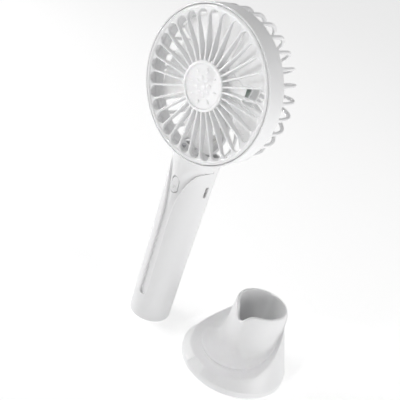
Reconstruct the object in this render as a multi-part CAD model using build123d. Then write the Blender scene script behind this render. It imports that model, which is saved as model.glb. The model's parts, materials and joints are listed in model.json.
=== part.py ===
"""Hand-held electric fan with its desk stand.

Frame: millimetres, +Z up along the handle, the front of the fan faces -Y.
The origin is the centre of the handle's flat end, and the floor is Z = 0.
The stand stands upright on the same floor, beside the handle.
"""
from build123d import *
from math import cos, radians, sin, sqrt
import os

# ---------------------------------------------------------------- driving dimensions
HEAD_HEIGHT = 180.7        # head axis above the handle's flat end
HEAD_FRONT = -16.1         # front rim plane of the head, ahead of the handle axis

RING_R = 50.5              # outside radius of the head housing
RING_WALL = 1.7
RING_DEPTH = 12.5
RIM_R = 49.2               # outside radius of the removable front grille
RIM_WIDTH = 2.6
RIM_DEPTH = 4.0
RIM_PROUD = 0.9
FIT_GAP = 0.1

SPOKES = 30
SPOKE_PITCH = 360 / SPOKES
FIRST_SPOKE = -16.8        # clockwise from the top, seen from the front
SPOKE_WIDTH = 1.3
SPOKE_FRONT = (-1.3, -0.2)  # front edge of a spoke at the hub and at the rim
WEB_R = 42.5               # centres of the rounded outer ends of the openings
WEB_HOLE_R = 3.85

HUB_R = 15.9               # front hub of the grille
HUB_PROUD = 2.3
SPOKE_BACK = ((RIM_R - 2, 1.4), (36, 3.0), (25, 4.3), (HUB_R - 1, 5.0))   # (radius, depth) points
BADGE_R = 13.9
BADGE_RECESS = 1.3

CAGE_DEPTH = 37.0          # back face of the rear cage, behind the front rim plane
CAGE_CORNER = 15.0
CAGE_R = 50.0
CAGE_RIB = 2.4             # rib size along its radius
CAGE_RIB_WIDTH = 1.7
CAGE_HUB_R = 18.0
CAGE_FLANGE = 1.6          # thickness of the cage's flange behind the housing
CAGE_PLATE = CAGE_DEPTH - 3.2
DUCT_HALF = 3.2            # half the width of the wire duct down the cage

GRILLE_LUGS = 4
LUG_HALF = 3.0

IMPELLER_R = 44.5
IMPELLER_HUB_R = 15.0
IMPELLER_FRONT = 7.5
IMPELLER_HUB_DEPTH = 16.5
BLADES = 5
BLADE_THICKNESS = 1.3
FIRST_BLADE = 44.0
BLADE_SECTIONS = ((13.2, 17, 38), (28, 29, 27), (47, 54, 15.5))    # (radius, chord, pitch angle)

ROTOR_R = 12.5
ROTOR_FRONT = 9.6
ROTOR_DEPTH = 14.0
SHAFT_R = 1.25
BEARING_R = 3.5
BEARING_WIDTH = 2.5
FRONT_BEARING = 12.9       # where each bearing starts, behind the front rim plane
REAR_BEARING = 26.9
TUBE_R = 4.4               # bearing tube that carries the stator
STATOR_START = 13.6
STATOR_END = 21.2
POLES = 9
MOTOR_SCREWS = 3
MOTOR_SCREW_R = 9.5
MOTOR_BOARD = 25.2

HANDLE_R_LOW = 15.1        # the lowest stretch is straight, so that it fits the stand
HANDLE_R_HIGH = 16.3
STRAIGHT_END = 38.0
SLEEVE_TOP = 126.0
SLEEVE_WALL = 1.5
CORE_WALL = 1.5
CORE_GAP = 0.08
CORE_BOTTOM = 6.0
CHANNEL_HALF = 2.85        # half the width of the long channel down the sleeve's front
CHANNEL_END = 20.0
NECKLINE_START = 70.0      # where the channel begins to widen into the neckline
NECKLINE_SPREAD = 12.0
NECKLINE_LIP = 4.5
NECKLINE_CURVE = 3.3       # how late the neckline begins to spread
NECKLINE_CORNER = 40       # how tightly it turns level at the top of the sleeve
NECKLINE_EDGE = 0.6        # rounding of the sleeve's edge round the neckline
NECK_TOP = 145.0
NECK_ROOF = 128.6          # underside of the solid saddle at the top of the core
COLLAR_BOTTOM = 118.5      # inner collar that joins the two halves of the core
COLLAR_WALL = 1.6
WIRE_HOLE_Y = 8.6
NECK_SCREW_X = 7.5
NECK_SCREW_Y = HEAD_FRONT + 7.6
COLLAR_SCREW_X = 6.0
COLLAR_SCREW_Z = 122.0
FOOT_R = 2.2
FOOT_Z = 10.0              # feet at the bottom of the core's halves, joined by one screw

BUTTON_Z = 110.6
BUTTON_LENGTH = 11.5
BUTTON_WIDTH = 5.6
BUTTON_FACE_R = 15.5
BUTTON_GAP = 0.25
BUTTON_BACK = -12.0

BOARD_FRONT = -3.4
BOARD_THICKNESS = 1.0
BOARD_HALF_WIDTH = 9.5
BOARD_BOTTOM = 84.0
BOARD_TOP = 117.0
BOARD_SCREW_X = 6.5
BOARD_SCREW_Z = (87.0, 100.0)
POST_R = 1.8               # board posts on the front half of the core
PORT_Z = 110.4
PORT_LENGTH = 7.6
PORT_HEIGHT = 2.6
PORT_MOUTH = 14.5          # mouth of the charging port, out along +X
PORT_Y = -1.1
SLOT_LENGTH = 8.6          # opening in the sleeve in front of the port
SLOT_WIDTH = 3.0

CELL_R = 9.1
CELL_LENGTH = 65.0
CELL_BOTTOM = 16.0
WIRE_R = 0.6

STAND_X = 71.0
STAND_Y = 15.5
STAND_TURN = -10.0         # the stand is turned a little to the fan's right
BASE_R = 37.5
BASE_BAND = 6.0            # height of the upright band round the base
STAND_HEIGHT = 50.0
CUP_BACK = 8.5             # cup axis, behind the centre of the base
CUP_BORE_R = 15.5
CUP_WALL = 2.9
CUP_FLOOR = 14.0
DIP_LOW = 39.5             # lowest point of the dip in the cup's rim
SKIRT_TOP = 40.0           # height at which the base's skirt closes on the cup
DECK_LINE = ((-40, 9.3), (-27, 11.0), (-10, 15.0), (4, 22.5), (15, 33), (24, 45))
DECK_STEP = 1.4            # the inner deck round the cup is raised by this much
INNER_DECK_R = 28.5
FLARE_START = 12.2          # height at which the flare round the cup begins
CUP_FLARE = ((0.4, 34), (3.2, 22), (9.5, 14.5), (19, FLARE_START))     # (beyond the cup's wall, height)
DIP_HALF = 3.2
DIP_EDGE = ((6.6, 6.2), (12.5, 8.2), (19.5, 10.6))      # (across, above the lowest point)
NOTCH_WIDTH = 18.0         # finger notch in the front edge of the deck
NOTCH_HEIGHT = 8.0
NOTCH_SLOPE = 60
NOTCH_DEPTH = 6.5
NOTCH_Z = 9.0
SHELL_WALL = 2.2
BALLAST_R = 14.0
PLATE_BOTTOM = 1.2
PLATE_TOP = 3.0
SCREW_CIRCLE = 28.0        # radius of the circle that the base screws lie on
BASE_SCREWS = [(SCREW_CIRCLE * cos(radians(a)), SCREW_CIRCLE * sin(radians(a))) for a in (90, 210, 330)]

HEAD_FRAME = Pos(0, HEAD_FRONT, HEAD_HEIGHT) * Rot(-90, 0, 0)
STAND_FRAME = Pos(STAND_X, STAND_Y, 0) * Rot(0, 0, STAND_TURN)


# ---------------------------------------------------------------- helpers
def on_head(shape):
    """Place a shape built about its own Z axis, which points back from the front rim plane."""
    return HEAD_FRAME * shape


def on_stand(shape):
    return STAND_FRAME * shape


def clock(angle):
    """Direction, about the head axis, of an angle measured clockwise from the top."""
    return angle - 90


def disc(radius, start, end):
    return Pos(0, 0, start) * extrude(Circle(radius), end - start)


def ring(outer, inner, start, end):
    return Pos(0, 0, start) * extrude(Circle(outer) - Circle(inner), end - start)


def turned(*points):
    """Solid of revolution about Z from (radius, height) points."""
    return revolve(Plane.XZ * make_face(Polyline(*points, close=True)), Axis.Z)


def around(shape, count, first=0.0):
    """List of copies of a shape, evenly spaced about Z."""
    return [Rot(0, 0, first + 360 * i / count) * shape for i in range(count)]


def group(solids):
    return Compound(children=list(solids))


def bar(x0, x1, y0, y1, z0, z1):
    """Box given by its limits."""
    centre = ((x0 + x1) / 2, (y0 + y1) / 2, (z0 + z1) / 2)
    return Pos(*centre) * Box(x1 - x0, y1 - y0, z1 - z0)


def rod(start, end, radius):
    """Round rod from one point to another."""
    axis = Vector(end) - Vector(start)
    plane = Plane(origin=Vector(start), z_dir=axis)
    return extrude(plane * Circle(radius), axis.length)


def tube_along(points, radii, radius=WIRE_R):
    """Solid wire along straight runs joined by tangent arcs."""
    path = FilletPolyline(*points, radius=radii)
    return sweep(path.location_at(0) * Circle(radius), path=path)


def handle_radius(z):
    """Outside radius of the handle at a height."""
    rise = max(0.0, min(1.0, (z - STRAIGHT_END) / (SLEEVE_TOP - STRAIGHT_END)))
    return HANDLE_R_LOW + (HANDLE_R_HIGH - HANDLE_R_LOW) * rise


def handle_solid(inset, start, end):
    """Solid with the handle's outside shape, made smaller by inset all round."""
    heights = [start, *[z for z in (STRAIGHT_END, SLEEVE_TOP) if start < z < end], end]
    side = [(handle_radius(z) - inset, z) for z in heights]
    return turned((0, start), *side, (0, end))


def handle_shell(inset, wall, start, end):
    return handle_solid(inset, start, end) - handle_solid(inset + wall, start - 1, end + 1)


def neckline_half(z):
    """Half the width of the opening in the sleeve's front, at a height."""
    rise = max(0.0, (z - NECKLINE_START) / (SLEEVE_TOP - NECKLINE_START))
    return CHANNEL_HALF + NECKLINE_SPREAD * rise**NECKLINE_CURVE + NECKLINE_LIP * rise**NECKLINE_CORNER


def neckline(shrink):
    """Cutter for the neckline and channel at the front of the sleeve, made smaller by shrink."""
    half = CHANNEL_HALF - shrink
    arc_z = CHANNEL_END + CHANNEL_HALF
    heights = [NECKLINE_START, 84, 96, 106, 114, 120, 123.5, SLEEVE_TOP]
    spread = [(neckline_half(z) - shrink, z) for z in heights]
    side = Spline(*spread, tangents=[(0, 1), (1, 0.25)])
    wide = spread[-1][0]
    outline = Curve() + [
        ThreePointArc((-half, arc_z), (0, arc_z - half), (half, arc_z)),
        Line((half, arc_z), spread[0]),
        side,
        Polyline(spread[-1], (wide, NECK_TOP), (-wide, NECK_TOP), (-wide, SLEEVE_TOP)),
        side.mirror(Plane.YZ),
        Line((-half, NECKLINE_START), (-half, arc_z)),
    ]
    return extrude(Plane.XZ * make_face(outline), 30)


# ---------------------------------------------------------------- head: front grille
def grille_spoke():
    """Deep fin from the hub to the rim, deepest at the hub."""
    front = ((HUB_R - 1, SPOKE_FRONT[0]), (RIM_R - 2, SPOKE_FRONT[1]))
    outline = Polyline(*front, *SPOKE_BACK, close=True)
    fin = Plane.XZ * make_face(outline)
    return extrude(fin, SPOKE_WIDTH / 2, both=True)


def make_front_grille():
    rim_section = Pos(RIM_R - RIM_WIDTH / 2, RIM_DEPTH / 2 - RIM_PROUD)
    rim = revolve(Plane.XZ * (rim_section * RectangleRounded(RIM_WIDTH, RIM_DEPTH, 1.1)), Axis.Z)
    web = ring(RIM_R - RIM_WIDTH + 0.4, WEB_R - 0.3, -0.2, 1.4)
    hole = Pos(WEB_R, 0, 0) * Cylinder(WEB_HOLE_R, 6)
    web -= around(hole, SPOKES, clock(FIRST_SPOKE + SPOKE_PITCH / 2))
    hub = disc(HUB_R, -HUB_PROUD, 5.0)
    hub = fillet(hub.edges().group_by(Axis.Z)[0], 1.2)
    hub -= disc(BADGE_R + FIT_GAP, -HUB_PROUD - 1, -HUB_PROUD + BADGE_RECESS)
    hub -= disc(HUB_R - 1.6, 0.6, 6)
    spokes = around(grille_spoke(), SPOKES, clock(FIRST_SPOKE))
    lug = bar(RIM_R - 2.2, RIM_R - 1.0, -LUG_HALF, LUG_HALF, 2.4, 5.4)
    lugs = around(lug, GRILLE_LUGS, clock(45 + FIRST_SPOKE))
    return on_head(rim + web + hub + spokes + lugs)


def make_hub_badge():
    """Round inlay in the hub, with a plain pattern of raised dashes."""
    face = -HUB_PROUD + 0.5
    plate = disc(BADGE_R, face, -HUB_PROUD + BADGE_RECESS)
    petal = Pos(5.2, 0, face) * extrude(Ellipse(1.9, 0.8), 0.6, both=True)
    dash = Pos(10.2, 0, face) * extrude(Ellipse(1.5, 0.55), 0.6, both=True)
    relief = disc(12, face - 0.25, face + 0.1)
    marks = around(petal & relief, 8, 22.5) + around(dash & relief, 8)
    return on_head(plate + marks + disc(1.6, face - 0.25, face + 0.1))


# ---------------------------------------------------------------- head: housing and cage
def make_head_housing():
    """Ring round the impeller, with a ledge that the front grille sits against."""
    inner = RING_R - RING_WALL
    front = -0.4
    band = turned(
        (RIM_R + FIT_GAP, front),
        (RING_R - 0.7, front),
        (RING_R, front + 0.9),
        (RING_R, RING_DEPTH),
        (inner, RING_DEPTH),
        (inner, RING_DEPTH - 3.1),
        (inner - 1.6, RING_DEPTH - 3.1),
        (inner - 1.6, 6.6),
        (RIM_R - RIM_WIDTH + 1.4, 5.6),
        (RIM_R - RIM_WIDTH + 1.4, 3.3),
        (RIM_R + FIT_GAP, 3.3),
    )
    slot_half = LUG_HALF + 0.2
    lug_slot = bar(RIM_R - 2.4, RIM_R - 0.9, -slot_half, slot_half, 3.0, 5.5)
    band -= around(lug_slot, GRILLE_LUGS, clock(45 + FIRST_SPOKE))
    depth = NECK_SCREW_Y - HEAD_FRONT
    screw_hole = rod((-NECK_SCREW_X, RING_R + 1, depth), (-NECK_SCREW_X, RING_R - 6, depth), 1.1)
    return on_head(band - screw_hole - mirror(screw_hole, Plane.YZ))


def corner_block(radius, depth, corner):
    """Flat shape from the axis out to a radius and back to a depth, with one round corner."""
    shape = Pos(radius / 2, depth / 2) * Rectangle(radius, depth)
    far = shape.vertices().sort_by(lambda v: v.X + v.Y)[-1]
    return fillet(far, corner)


def cage_section(wall):
    """Flat shape of a rib: straight back from the ring, round the corner, in to the hub."""
    outer = corner_block(CAGE_R, CAGE_DEPTH, CAGE_CORNER)
    inner = corner_block(CAGE_R - wall, CAGE_DEPTH - wall, CAGE_CORNER - wall)
    start, root = RING_DEPTH + 0.2, CAGE_HUB_R - 1.2
    middle = ((CAGE_R + root) / 2, (CAGE_DEPTH + start) / 2)
    return (outer - inner) & (Pos(*middle) * Rectangle(CAGE_R - root, CAGE_DEPTH - start))


def cage_duct():
    """Flat strip down the cage, in line with the handle, that covers the motor's wires."""
    turn = clock(180 + SPOKE_PITCH / 2 + FIRST_SPOKE % SPOKE_PITCH - SPOKE_PITCH)
    duct = Rot(0, 0, turn) * extrude(Plane.XZ * cage_section(1.0), DUCT_HALF, both=True)
    return duct


def make_rear_cage():
    """Ring, hub plate and wire duct of the rear cage."""
    seat = RING_R - RING_WALL
    lip = ring(seat - FIT_GAP, seat - 1.5, RING_DEPTH - 2.9, RING_DEPTH + 0.4)
    flange = ring(CAGE_R + 0.2, seat - 1.5, RING_DEPTH + FIT_GAP, RING_DEPTH + CAGE_FLANGE)
    hub = ring(CAGE_HUB_R, SHAFT_R + 1.75, CAGE_PLATE, CAGE_PLATE + 2)
    hub += ring(CAGE_HUB_R, CAGE_HUB_R - 1.8, CAGE_PLATE, CAGE_DEPTH)
    screw_hole = Pos(MOTOR_SCREW_R, 0, CAGE_PLATE + 1) * Cylinder(1.1, 8)
    cage = on_head(lip + flange + hub + cage_duct() - around(screw_hole, MOTOR_SCREWS, clock(0)))
    return cage - rod((0, WIRE_HOLE_Y, NECK_ROOF), (0, WIRE_HOLE_Y, NECK_ROOF + 12), 2.0)


def make_cage_ribs():
    """Bent ribs that run from the cage's flange to its hub."""
    rib = extrude(Plane.XZ * cage_section(CAGE_RIB), CAGE_RIB_WIDTH / 2, both=True)
    rib &= ring(CAGE_R + 1, CAGE_HUB_R + 0.02, RING_DEPTH + CAGE_FLANGE + 0.02, CAGE_DEPTH + 1)
    ribs = around(rib, SPOKES, clock(FIRST_SPOKE))
    return on_head(group([r - cage_duct() for r in ribs]))


def make_rear_cap():
    """Snap-in cover over the motor screws, at the middle of the rear cage."""
    radius = CAGE_HUB_R - 1.8 - FIT_GAP
    cap = disc(radius, CAGE_DEPTH - 1.1, CAGE_DEPTH + 0.9)
    cap = fillet(cap.edges().group_by(Axis.Z)[-1], 0.7)
    return on_head(cap - disc(radius - 2, CAGE_DEPTH - 2, CAGE_DEPTH - 0.1))


# ---------------------------------------------------------------- head: impeller and motor
def blade_section(radius, chord, pitch):
    """Thin rounded section across a blade, square to its radius."""
    middle = (radius, 0, IMPELLER_FRONT + IMPELLER_HUB_DEPTH / 2)
    plane = Plane(origin=middle, x_dir=(0, 1, 0), z_dir=(1, 0, 0))
    return plane * (Rot(0, 0, pitch) * RectangleRounded(chord, BLADE_THICKNESS, 0.5))


def make_impeller():
    hub_end = IMPELLER_FRONT + IMPELLER_HUB_DEPTH
    hub = disc(IMPELLER_HUB_R, IMPELLER_FRONT, hub_end)
    hub = fillet(hub.edges().group_by(Axis.Z)[0], 2.5)
    hub -= disc(ROTOR_R, ROTOR_FRONT, hub_end + 1)
    hub -= disc(SHAFT_R + FIT_GAP, IMPELLER_FRONT + 1, ROTOR_FRONT + 1)
    blade = loft([blade_section(*size).face() for size in BLADE_SECTIONS])
    blade &= ring(IMPELLER_R, IMPELLER_HUB_R - 0.4, 0, CAGE_DEPTH)
    blades = around(blade, BLADES, clock(FIRST_BLADE))
    return on_head(hub + blades)


def make_rotor_can():
    can = disc(ROTOR_R, ROTOR_FRONT, ROTOR_FRONT + ROTOR_DEPTH)
    can -= disc(ROTOR_R - 0.9, ROTOR_FRONT + 1.2, ROTOR_FRONT + ROTOR_DEPTH + 1)
    return on_head(can - disc(SHAFT_R, ROTOR_FRONT - 1, ROTOR_FRONT + 2))


def make_rotor_magnet():
    outer = ROTOR_R - 0.9
    return on_head(ring(outer, outer - 1.3, ROTOR_FRONT + 1.8, ROTOR_FRONT + ROTOR_DEPTH - 0.6))


def make_motor_shaft():
    shaft = disc(SHAFT_R, ROTOR_FRONT - 1.0, CAGE_DEPTH - 3.6)
    groove = ring(SHAFT_R + 1, SHAFT_R - 0.35, CAGE_DEPTH - 4.8, CAGE_DEPTH - 4.3)
    return on_head(shaft - groove)


def make_shaft_clip():
    clip = ring(2.4, SHAFT_R - 0.33, CAGE_DEPTH - 4.75, CAGE_DEPTH - 4.35)
    return on_head(clip - bar(0, 3, -0.7, 0.7, CAGE_DEPTH - 6, CAGE_DEPTH - 3))


def make_bearing(start):
    return on_head(ring(BEARING_R, SHAFT_R + 0.01, start, start + BEARING_WIDTH))


def make_motor_base():
    """Bearing tube and the flange that bolts it to the hub of the rear cage."""
    back = CAGE_PLATE - 0.1
    tube = ring(TUBE_R, SHAFT_R + 0.6, FRONT_BEARING - 0.3, back)
    tube -= disc(BEARING_R, FRONT_BEARING - 1, FRONT_BEARING + BEARING_WIDTH)
    tube -= disc(BEARING_R, REAR_BEARING, back + 1)
    flange = ring(13, BEARING_R, back - 2, back)
    pilot = Pos(MOTOR_SCREW_R, 0, back - 1) * Cylinder(0.8, 6)
    return on_head(tube + flange - around(pilot, MOTOR_SCREWS, clock(0)))


def make_stator_core():
    """Laminated iron core with one tooth to each pole."""
    core = ring(6.2, TUBE_R, STATOR_START, STATOR_END)
    tooth = bar(5.8, 8.8, -0.8, 0.8, STATOR_START, STATOR_END)
    shoe = bar(8.4, 9.6, -2.5, 2.5, STATOR_START, STATOR_END) & disc(9.9, 0, CAGE_DEPTH)
    return on_head(core + around(tooth + shoe, POLES))


def make_stator_coils():
    """One winding round each tooth."""
    coil = bar(6.6, 8.2, -1.6, 1.6, STATOR_START - 0.6, STATOR_END + 0.6)
    coil -= bar(6, 9, -0.82, 0.82, STATOR_START - 0.02, STATOR_END + 0.02)
    return on_head(group(around(coil, POLES)))


def make_motor_board():
    board = ring(11.6, TUBE_R + 0.05, MOTOR_BOARD, MOTOR_BOARD + 1)
    chip = bar(6, 9, -1.5, 1.5, MOTOR_BOARD - 0.9, MOTOR_BOARD)
    return on_head(board + chip)


def make_motor_screws():
    seat = CAGE_PLATE + 2
    screw = disc(0.8, seat - 4, seat) + disc(1.7, seat, seat + 1)
    return on_head(group(around(Pos(MOTOR_SCREW_R, 0, 0) * screw, MOTOR_SCREWS, clock(0))))


def make_motor_leads():
    """Pair of wires from the control board, up the neck and the cage's duct, to the motor."""
    wires = []
    for x in (-0.9, 0.9):
        points = [
            (x, -1.75, 115.5),
            (x, -1.75, 119.5),
            (x, WIRE_HOLE_Y, 126),
            (x, WIRE_HOLE_Y, 134),
            (x, 14.4, 141),
            (x, 17.0, 150),
            (x, 16.4, 159),
            (x, 11.2, 166),
            (x, 10.8, 171.5),
        ]
        wires.append(tube_along(points, [2.5, 2.5, 4, 6, 8, 6, 4]))
    return group(wires)


# ---------------------------------------------------------------- neck and handle
def head_cutter(radius):
    return Pos(0, 0, HEAD_HEIGHT) * Rot(90, 0, 0) * Cylinder(radius, 80)


def neck_block():
    """Saddle at the top of the core, shaped to the underside of the head housing."""
    block = handle_solid(0, SLEEVE_TOP + 0.1, NECK_TOP)
    bore_r = handle_radius(SLEEVE_TOP) - SLEEVE_WALL - CORE_GAP - CORE_WALL
    block -= disc(bore_r, SLEEVE_TOP - 1, NECK_ROOF)
    block -= head_cutter(RING_R + 0.02)
    block -= rod((0, WIRE_HOLE_Y, NECK_ROOF - 2), (0, WIRE_HOLE_Y, NECK_TOP), 2.4)
    return block - neck_screw_holes()


def neck_screw_holes():
    holes = []
    for x in (-NECK_SCREW_X, NECK_SCREW_X):
        holes.append(rod((x, NECK_SCREW_Y, COLLAR_BOTTOM - 1), (x, NECK_SCREW_Y, NECK_TOP), 0.85))
    return holes


def make_neck_collar():
    """Ring inside the top of the core that keeps its two halves together."""
    outer = handle_radius(COLLAR_BOTTOM) - SLEEVE_WALL - 2 * CORE_GAP - CORE_WALL
    collar = ring(outer, outer - COLLAR_WALL, COLLAR_BOTTOM, NECK_ROOF - 0.05)
    for x in (-COLLAR_SCREW_X, COLLAR_SCREW_X):
        collar -= rod((x, 4, COLLAR_SCREW_Z), (x, 20, COLLAR_SCREW_Z), 0.6)
    return collar - neck_screw_holes()


def make_neck_screws():
    """Screws from inside the housing ring down into the neck."""
    seat = HEAD_HEIGHT - sqrt(RING_R**2 - NECK_SCREW_X**2) + 3.9
    screws = []
    for x in (-NECK_SCREW_X, NECK_SCREW_X):
        shank = rod((x, NECK_SCREW_Y, seat - 8), (x, NECK_SCREW_Y, seat), 0.8)
        head = rod((x, NECK_SCREW_Y, seat), (x, NECK_SCREW_Y, seat + 1.1), 1.8)
        screws.append(shank + head)
    return group(screws)


def neckline_edges(sleeve):
    """Outer edges of the sleeve round the neckline and the channel."""
    edges = []
    for edge in sleeve.edges():
        middle = edge.position_at(0.5)
        reach = sqrt(middle.X**2 + middle.Y**2)
        on_outside = abs(reach - handle_radius(middle.Z)) < 0.02
        at_end = middle.Z < CHANNEL_END + CHANNEL_HALF
        on_cut = at_end or abs(abs(middle.X) - neckline_half(middle.Z)) < 0.15
        if on_outside and on_cut and middle.Y < 0 and CHANNEL_END - 1 < middle.Z < SLEEVE_TOP - 0.01:
            edges.append(edge)
    return edges


def make_handle_sleeve():
    """Outer grip tube, with the neckline and the long channel cut in its front."""
    tube = handle_shell(0, SLEEVE_WALL, 0, SLEEVE_TOP)
    tube += ring(HANDLE_R_LOW - 1, 11.0, 0, 2.0)
    low_edges = tube.edges().filter_by(GeomType.CIRCLE).group_by(Axis.Z)[0]
    sleeve = fillet(low_edges.sort_by(SortBy.RADIUS)[-1], 1.6)
    sleeve -= neckline(0)
    sleeve = fillet(neckline_edges(sleeve), NECKLINE_EDGE)
    slot = SlotOverall(SLOT_LENGTH, SLOT_WIDTH)
    return sleeve - Pos(HANDLE_R_HIGH, PORT_Y, PORT_Z) * Rot(0, 90, 0) * extrude(slot, 5, both=True)


def core_half(side):
    """Half of the inner tube that carries the cell and the board: side is -1 front, 1 rear."""
    inset = SLEEVE_WALL + CORE_GAP
    half = bar(-20, 20, *sorted((side * 0.03, side * 20)), CORE_BOTTOM, NECK_TOP)
    shell = handle_shell(inset, CORE_WALL, CORE_BOTTOM, SLEEVE_TOP + 0.2)
    port = bar(8, 20, PORT_Y - 1.6, PORT_Y + 1.6, PORT_Z - 4.1, PORT_Z + 4.1)
    return ((shell + neck_block()) & half) - port


def make_core_front():
    """Visible tongue down the neckline, flared to meet the neck, with the button's opening."""
    core = core_half(-1)
    flare_r = handle_radius(SLEEVE_TOP)
    base_r = handle_radius(100) - SLEEVE_WALL - CORE_GAP
    low, high, inside = 98, SLEEVE_TOP + 0.3, 13.4
    curve = Spline((base_r - 0.2, low), (base_r + 0.45, 113), (flare_r, high), tangents=[(0, 1), (0.15, 1)])
    section = make_face(curve + Polyline((flare_r, high), (inside, high), (inside, low), (base_r - 0.2, low)))
    core += revolve(Plane.XZ * section, Axis.Z) & neckline(0.3)
    opening = SlotOverall(BUTTON_LENGTH + 2 * BUTTON_GAP, BUTTON_WIDTH + 2 * BUTTON_GAP, rotation=90)
    core -= Pos(0, -10, BUTTON_Z) * extrude(Plane.XZ * opening, 10)
    for z in BOARD_SCREW_Z:
        for x in (-BOARD_SCREW_X, BOARD_SCREW_X):
            reach = sqrt((handle_radius(z) - 2) ** 2 - x**2) - 0.4
            post = rod((x, BOARD_FRONT, z), (x, -reach, z), POST_R)
            core += post - rod((x, BOARD_FRONT, z), (x, BOARD_FRONT - 5, z), 0.7)
    foot = rod((0, -12.2, FOOT_Z), (0, -0.5, FOOT_Z), FOOT_R)
    return core + foot - rod((0, 0, FOOT_Z), (0, -7, FOOT_Z), 0.7)


def make_core_rear():
    core = core_half(1)
    core += rod((0, 12.2, FOOT_Z), (0, 0.03, FOOT_Z), FOOT_R)
    core -= rod((0, -1, FOOT_Z), (0, 20, FOOT_Z), 0.9)
    core -= rod((0, 10.6, FOOT_Z), (0, 20, FOOT_Z), 1.7)
    for x in (-COLLAR_SCREW_X, COLLAR_SCREW_X):
        core -= rod((x, 5, COLLAR_SCREW_Z), (x, 20, COLLAR_SCREW_Z), 0.8)
    return core


def make_core_screws():
    """One screw through the feet of the core, and two through the core into the collar."""
    shank = rod((0, -6, FOOT_Z), (0, 10.6, FOOT_Z), 0.7)
    screws = [shank + rod((0, 10.6, FOOT_Z), (0, 11.8, FOOT_Z), 1.6)]
    seat = sqrt((handle_radius(COLLAR_SCREW_Z) - SLEEVE_WALL - CORE_GAP) ** 2 - COLLAR_SCREW_X**2)
    for x in (-COLLAR_SCREW_X, COLLAR_SCREW_X):
        screws.append(rod((x, seat - 5, COLLAR_SCREW_Z), (x, seat - 0.1, COLLAR_SCREW_Z), 0.6))
    return group(screws)


def make_bottom_cap():
    """Plug in the flat end of the sleeve, flush with the floor."""
    plug = disc(10.95, 0, 2.0)
    plug += ring(10.6, 9.2, 1.9, 4.6)
    catch = ring(11.5, 10.0, 2.1, 3.2) & bar(0, 20, -3, 3, 0, 10)
    return plug + around(catch, 4)


def make_power_button():
    """Pill-shaped key with a flange behind the core's wall and a stem to the switch."""
    pill = extrude(Plane.XZ * SlotOverall(BUTTON_LENGTH, BUTTON_WIDTH, rotation=90), 20)
    front = disc(BUTTON_FACE_R, 90, 130) - bar(-20, 20, BUTTON_BACK, 40, 80, 140)
    key = (Pos(0, 0, BUTTON_Z) * pill) & front
    flange = Plane.XZ * SlotOverall(BUTTON_LENGTH + 2.0, BUTTON_WIDTH + 1.6, rotation=90)
    key += Pos(0, BUTTON_BACK + 0.9, BUTTON_Z) * extrude(flange, 0.9)
    return key + rod((0, BUTTON_BACK + 0.5, BUTTON_Z), (0, BOARD_FRONT - 5.0, BUTTON_Z), 1.5)


def make_switch_plunger():
    return rod((0, BOARD_FRONT - 5.0, BUTTON_Z), (0, BOARD_FRONT - 2.6, BUTTON_Z), 1.4)


def make_tact_switch():
    body = bar(-3, 3, BOARD_FRONT - 3.5, BOARD_FRONT, BUTTON_Z - 3, BUTTON_Z + 3)
    return body - rod((0, BOARD_FRONT - 4, BUTTON_Z), (0, BOARD_FRONT - 1.8, BUTTON_Z), 1.5)


def make_control_board():
    back = BOARD_FRONT + BOARD_THICKNESS
    board = bar(-BOARD_HALF_WIDTH, BOARD_HALF_WIDTH, BOARD_FRONT, back, BOARD_BOTTOM, BOARD_TOP)
    for z in BOARD_SCREW_Z:
        for x in (-BOARD_SCREW_X, BOARD_SCREW_X):
            board -= rod((x, -8, z), (x, 2, z), 0.9)
    return board


def make_board_chips():
    """Charging and motor-drive chips, a coil and a pair of capacitors on the back of the board."""
    back = BOARD_FRONT + BOARD_THICKNESS
    chips = [
        bar(-4, 1, back, back + 1.5, 91, 96),
        bar(-6.5, -2.5, back, back + 1.5, 105, 109),
        bar(2.5, 5.5, back, back + 2.5, 92, 98),
        bar(-6, -4.4, back, back + 0.9, 112, 114),
        bar(-3, -1.4, back, back + 0.9, 112, 114),
    ]
    return group(chips)


def make_board_screws():
    back = BOARD_FRONT + BOARD_THICKNESS
    screws = []
    for z in BOARD_SCREW_Z:
        for x in (-BOARD_SCREW_X, BOARD_SCREW_X):
            shank = rod((x, back - 4.5, z), (x, back, z), 0.7)
            screws.append(shank + rod((x, back, z), (x, back + 1, z), 1.4))
    return group(screws)


def make_usb_port():
    """Charging receptacle: a metal shell with a tongue inside, open towards +X."""
    back = BOARD_FRONT + BOARD_THICKNESS
    wall = 0.35
    half = PORT_LENGTH / 2
    shell = bar(8.6, PORT_MOUTH, back, back + PORT_HEIGHT, PORT_Z - half, PORT_Z + half)
    half -= wall
    shell -= bar(9.6, PORT_MOUTH + 1, back + wall, back + PORT_HEIGHT - wall, PORT_Z - half, PORT_Z + half)
    tongue = bar(9.4, PORT_MOUTH - 0.8, back + 1.0, back + 1.6, PORT_Z - 2.4, PORT_Z + 2.4)
    return shell + tongue


def make_battery_cell():
    cell = disc(CELL_R, CELL_BOTTOM, CELL_BOTTOM + CELL_LENGTH - 1)
    return cell + disc(3.5, CELL_BOTTOM, CELL_BOTTOM + CELL_LENGTH)


def make_battery_tabs():
    top = CELL_BOTTOM + CELL_LENGTH
    return group([
        bar(-3, 3, -7, 5, top, top + 0.2),
        bar(-9.8, 3, -3, 3, CELL_BOTTOM - 0.2, CELL_BOTTOM),
    ])


def make_battery_pad():
    """Foam pad under the cell, on the feet of the core."""
    return disc(9.0, 12.3, CELL_BOTTOM - 0.3)


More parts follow.
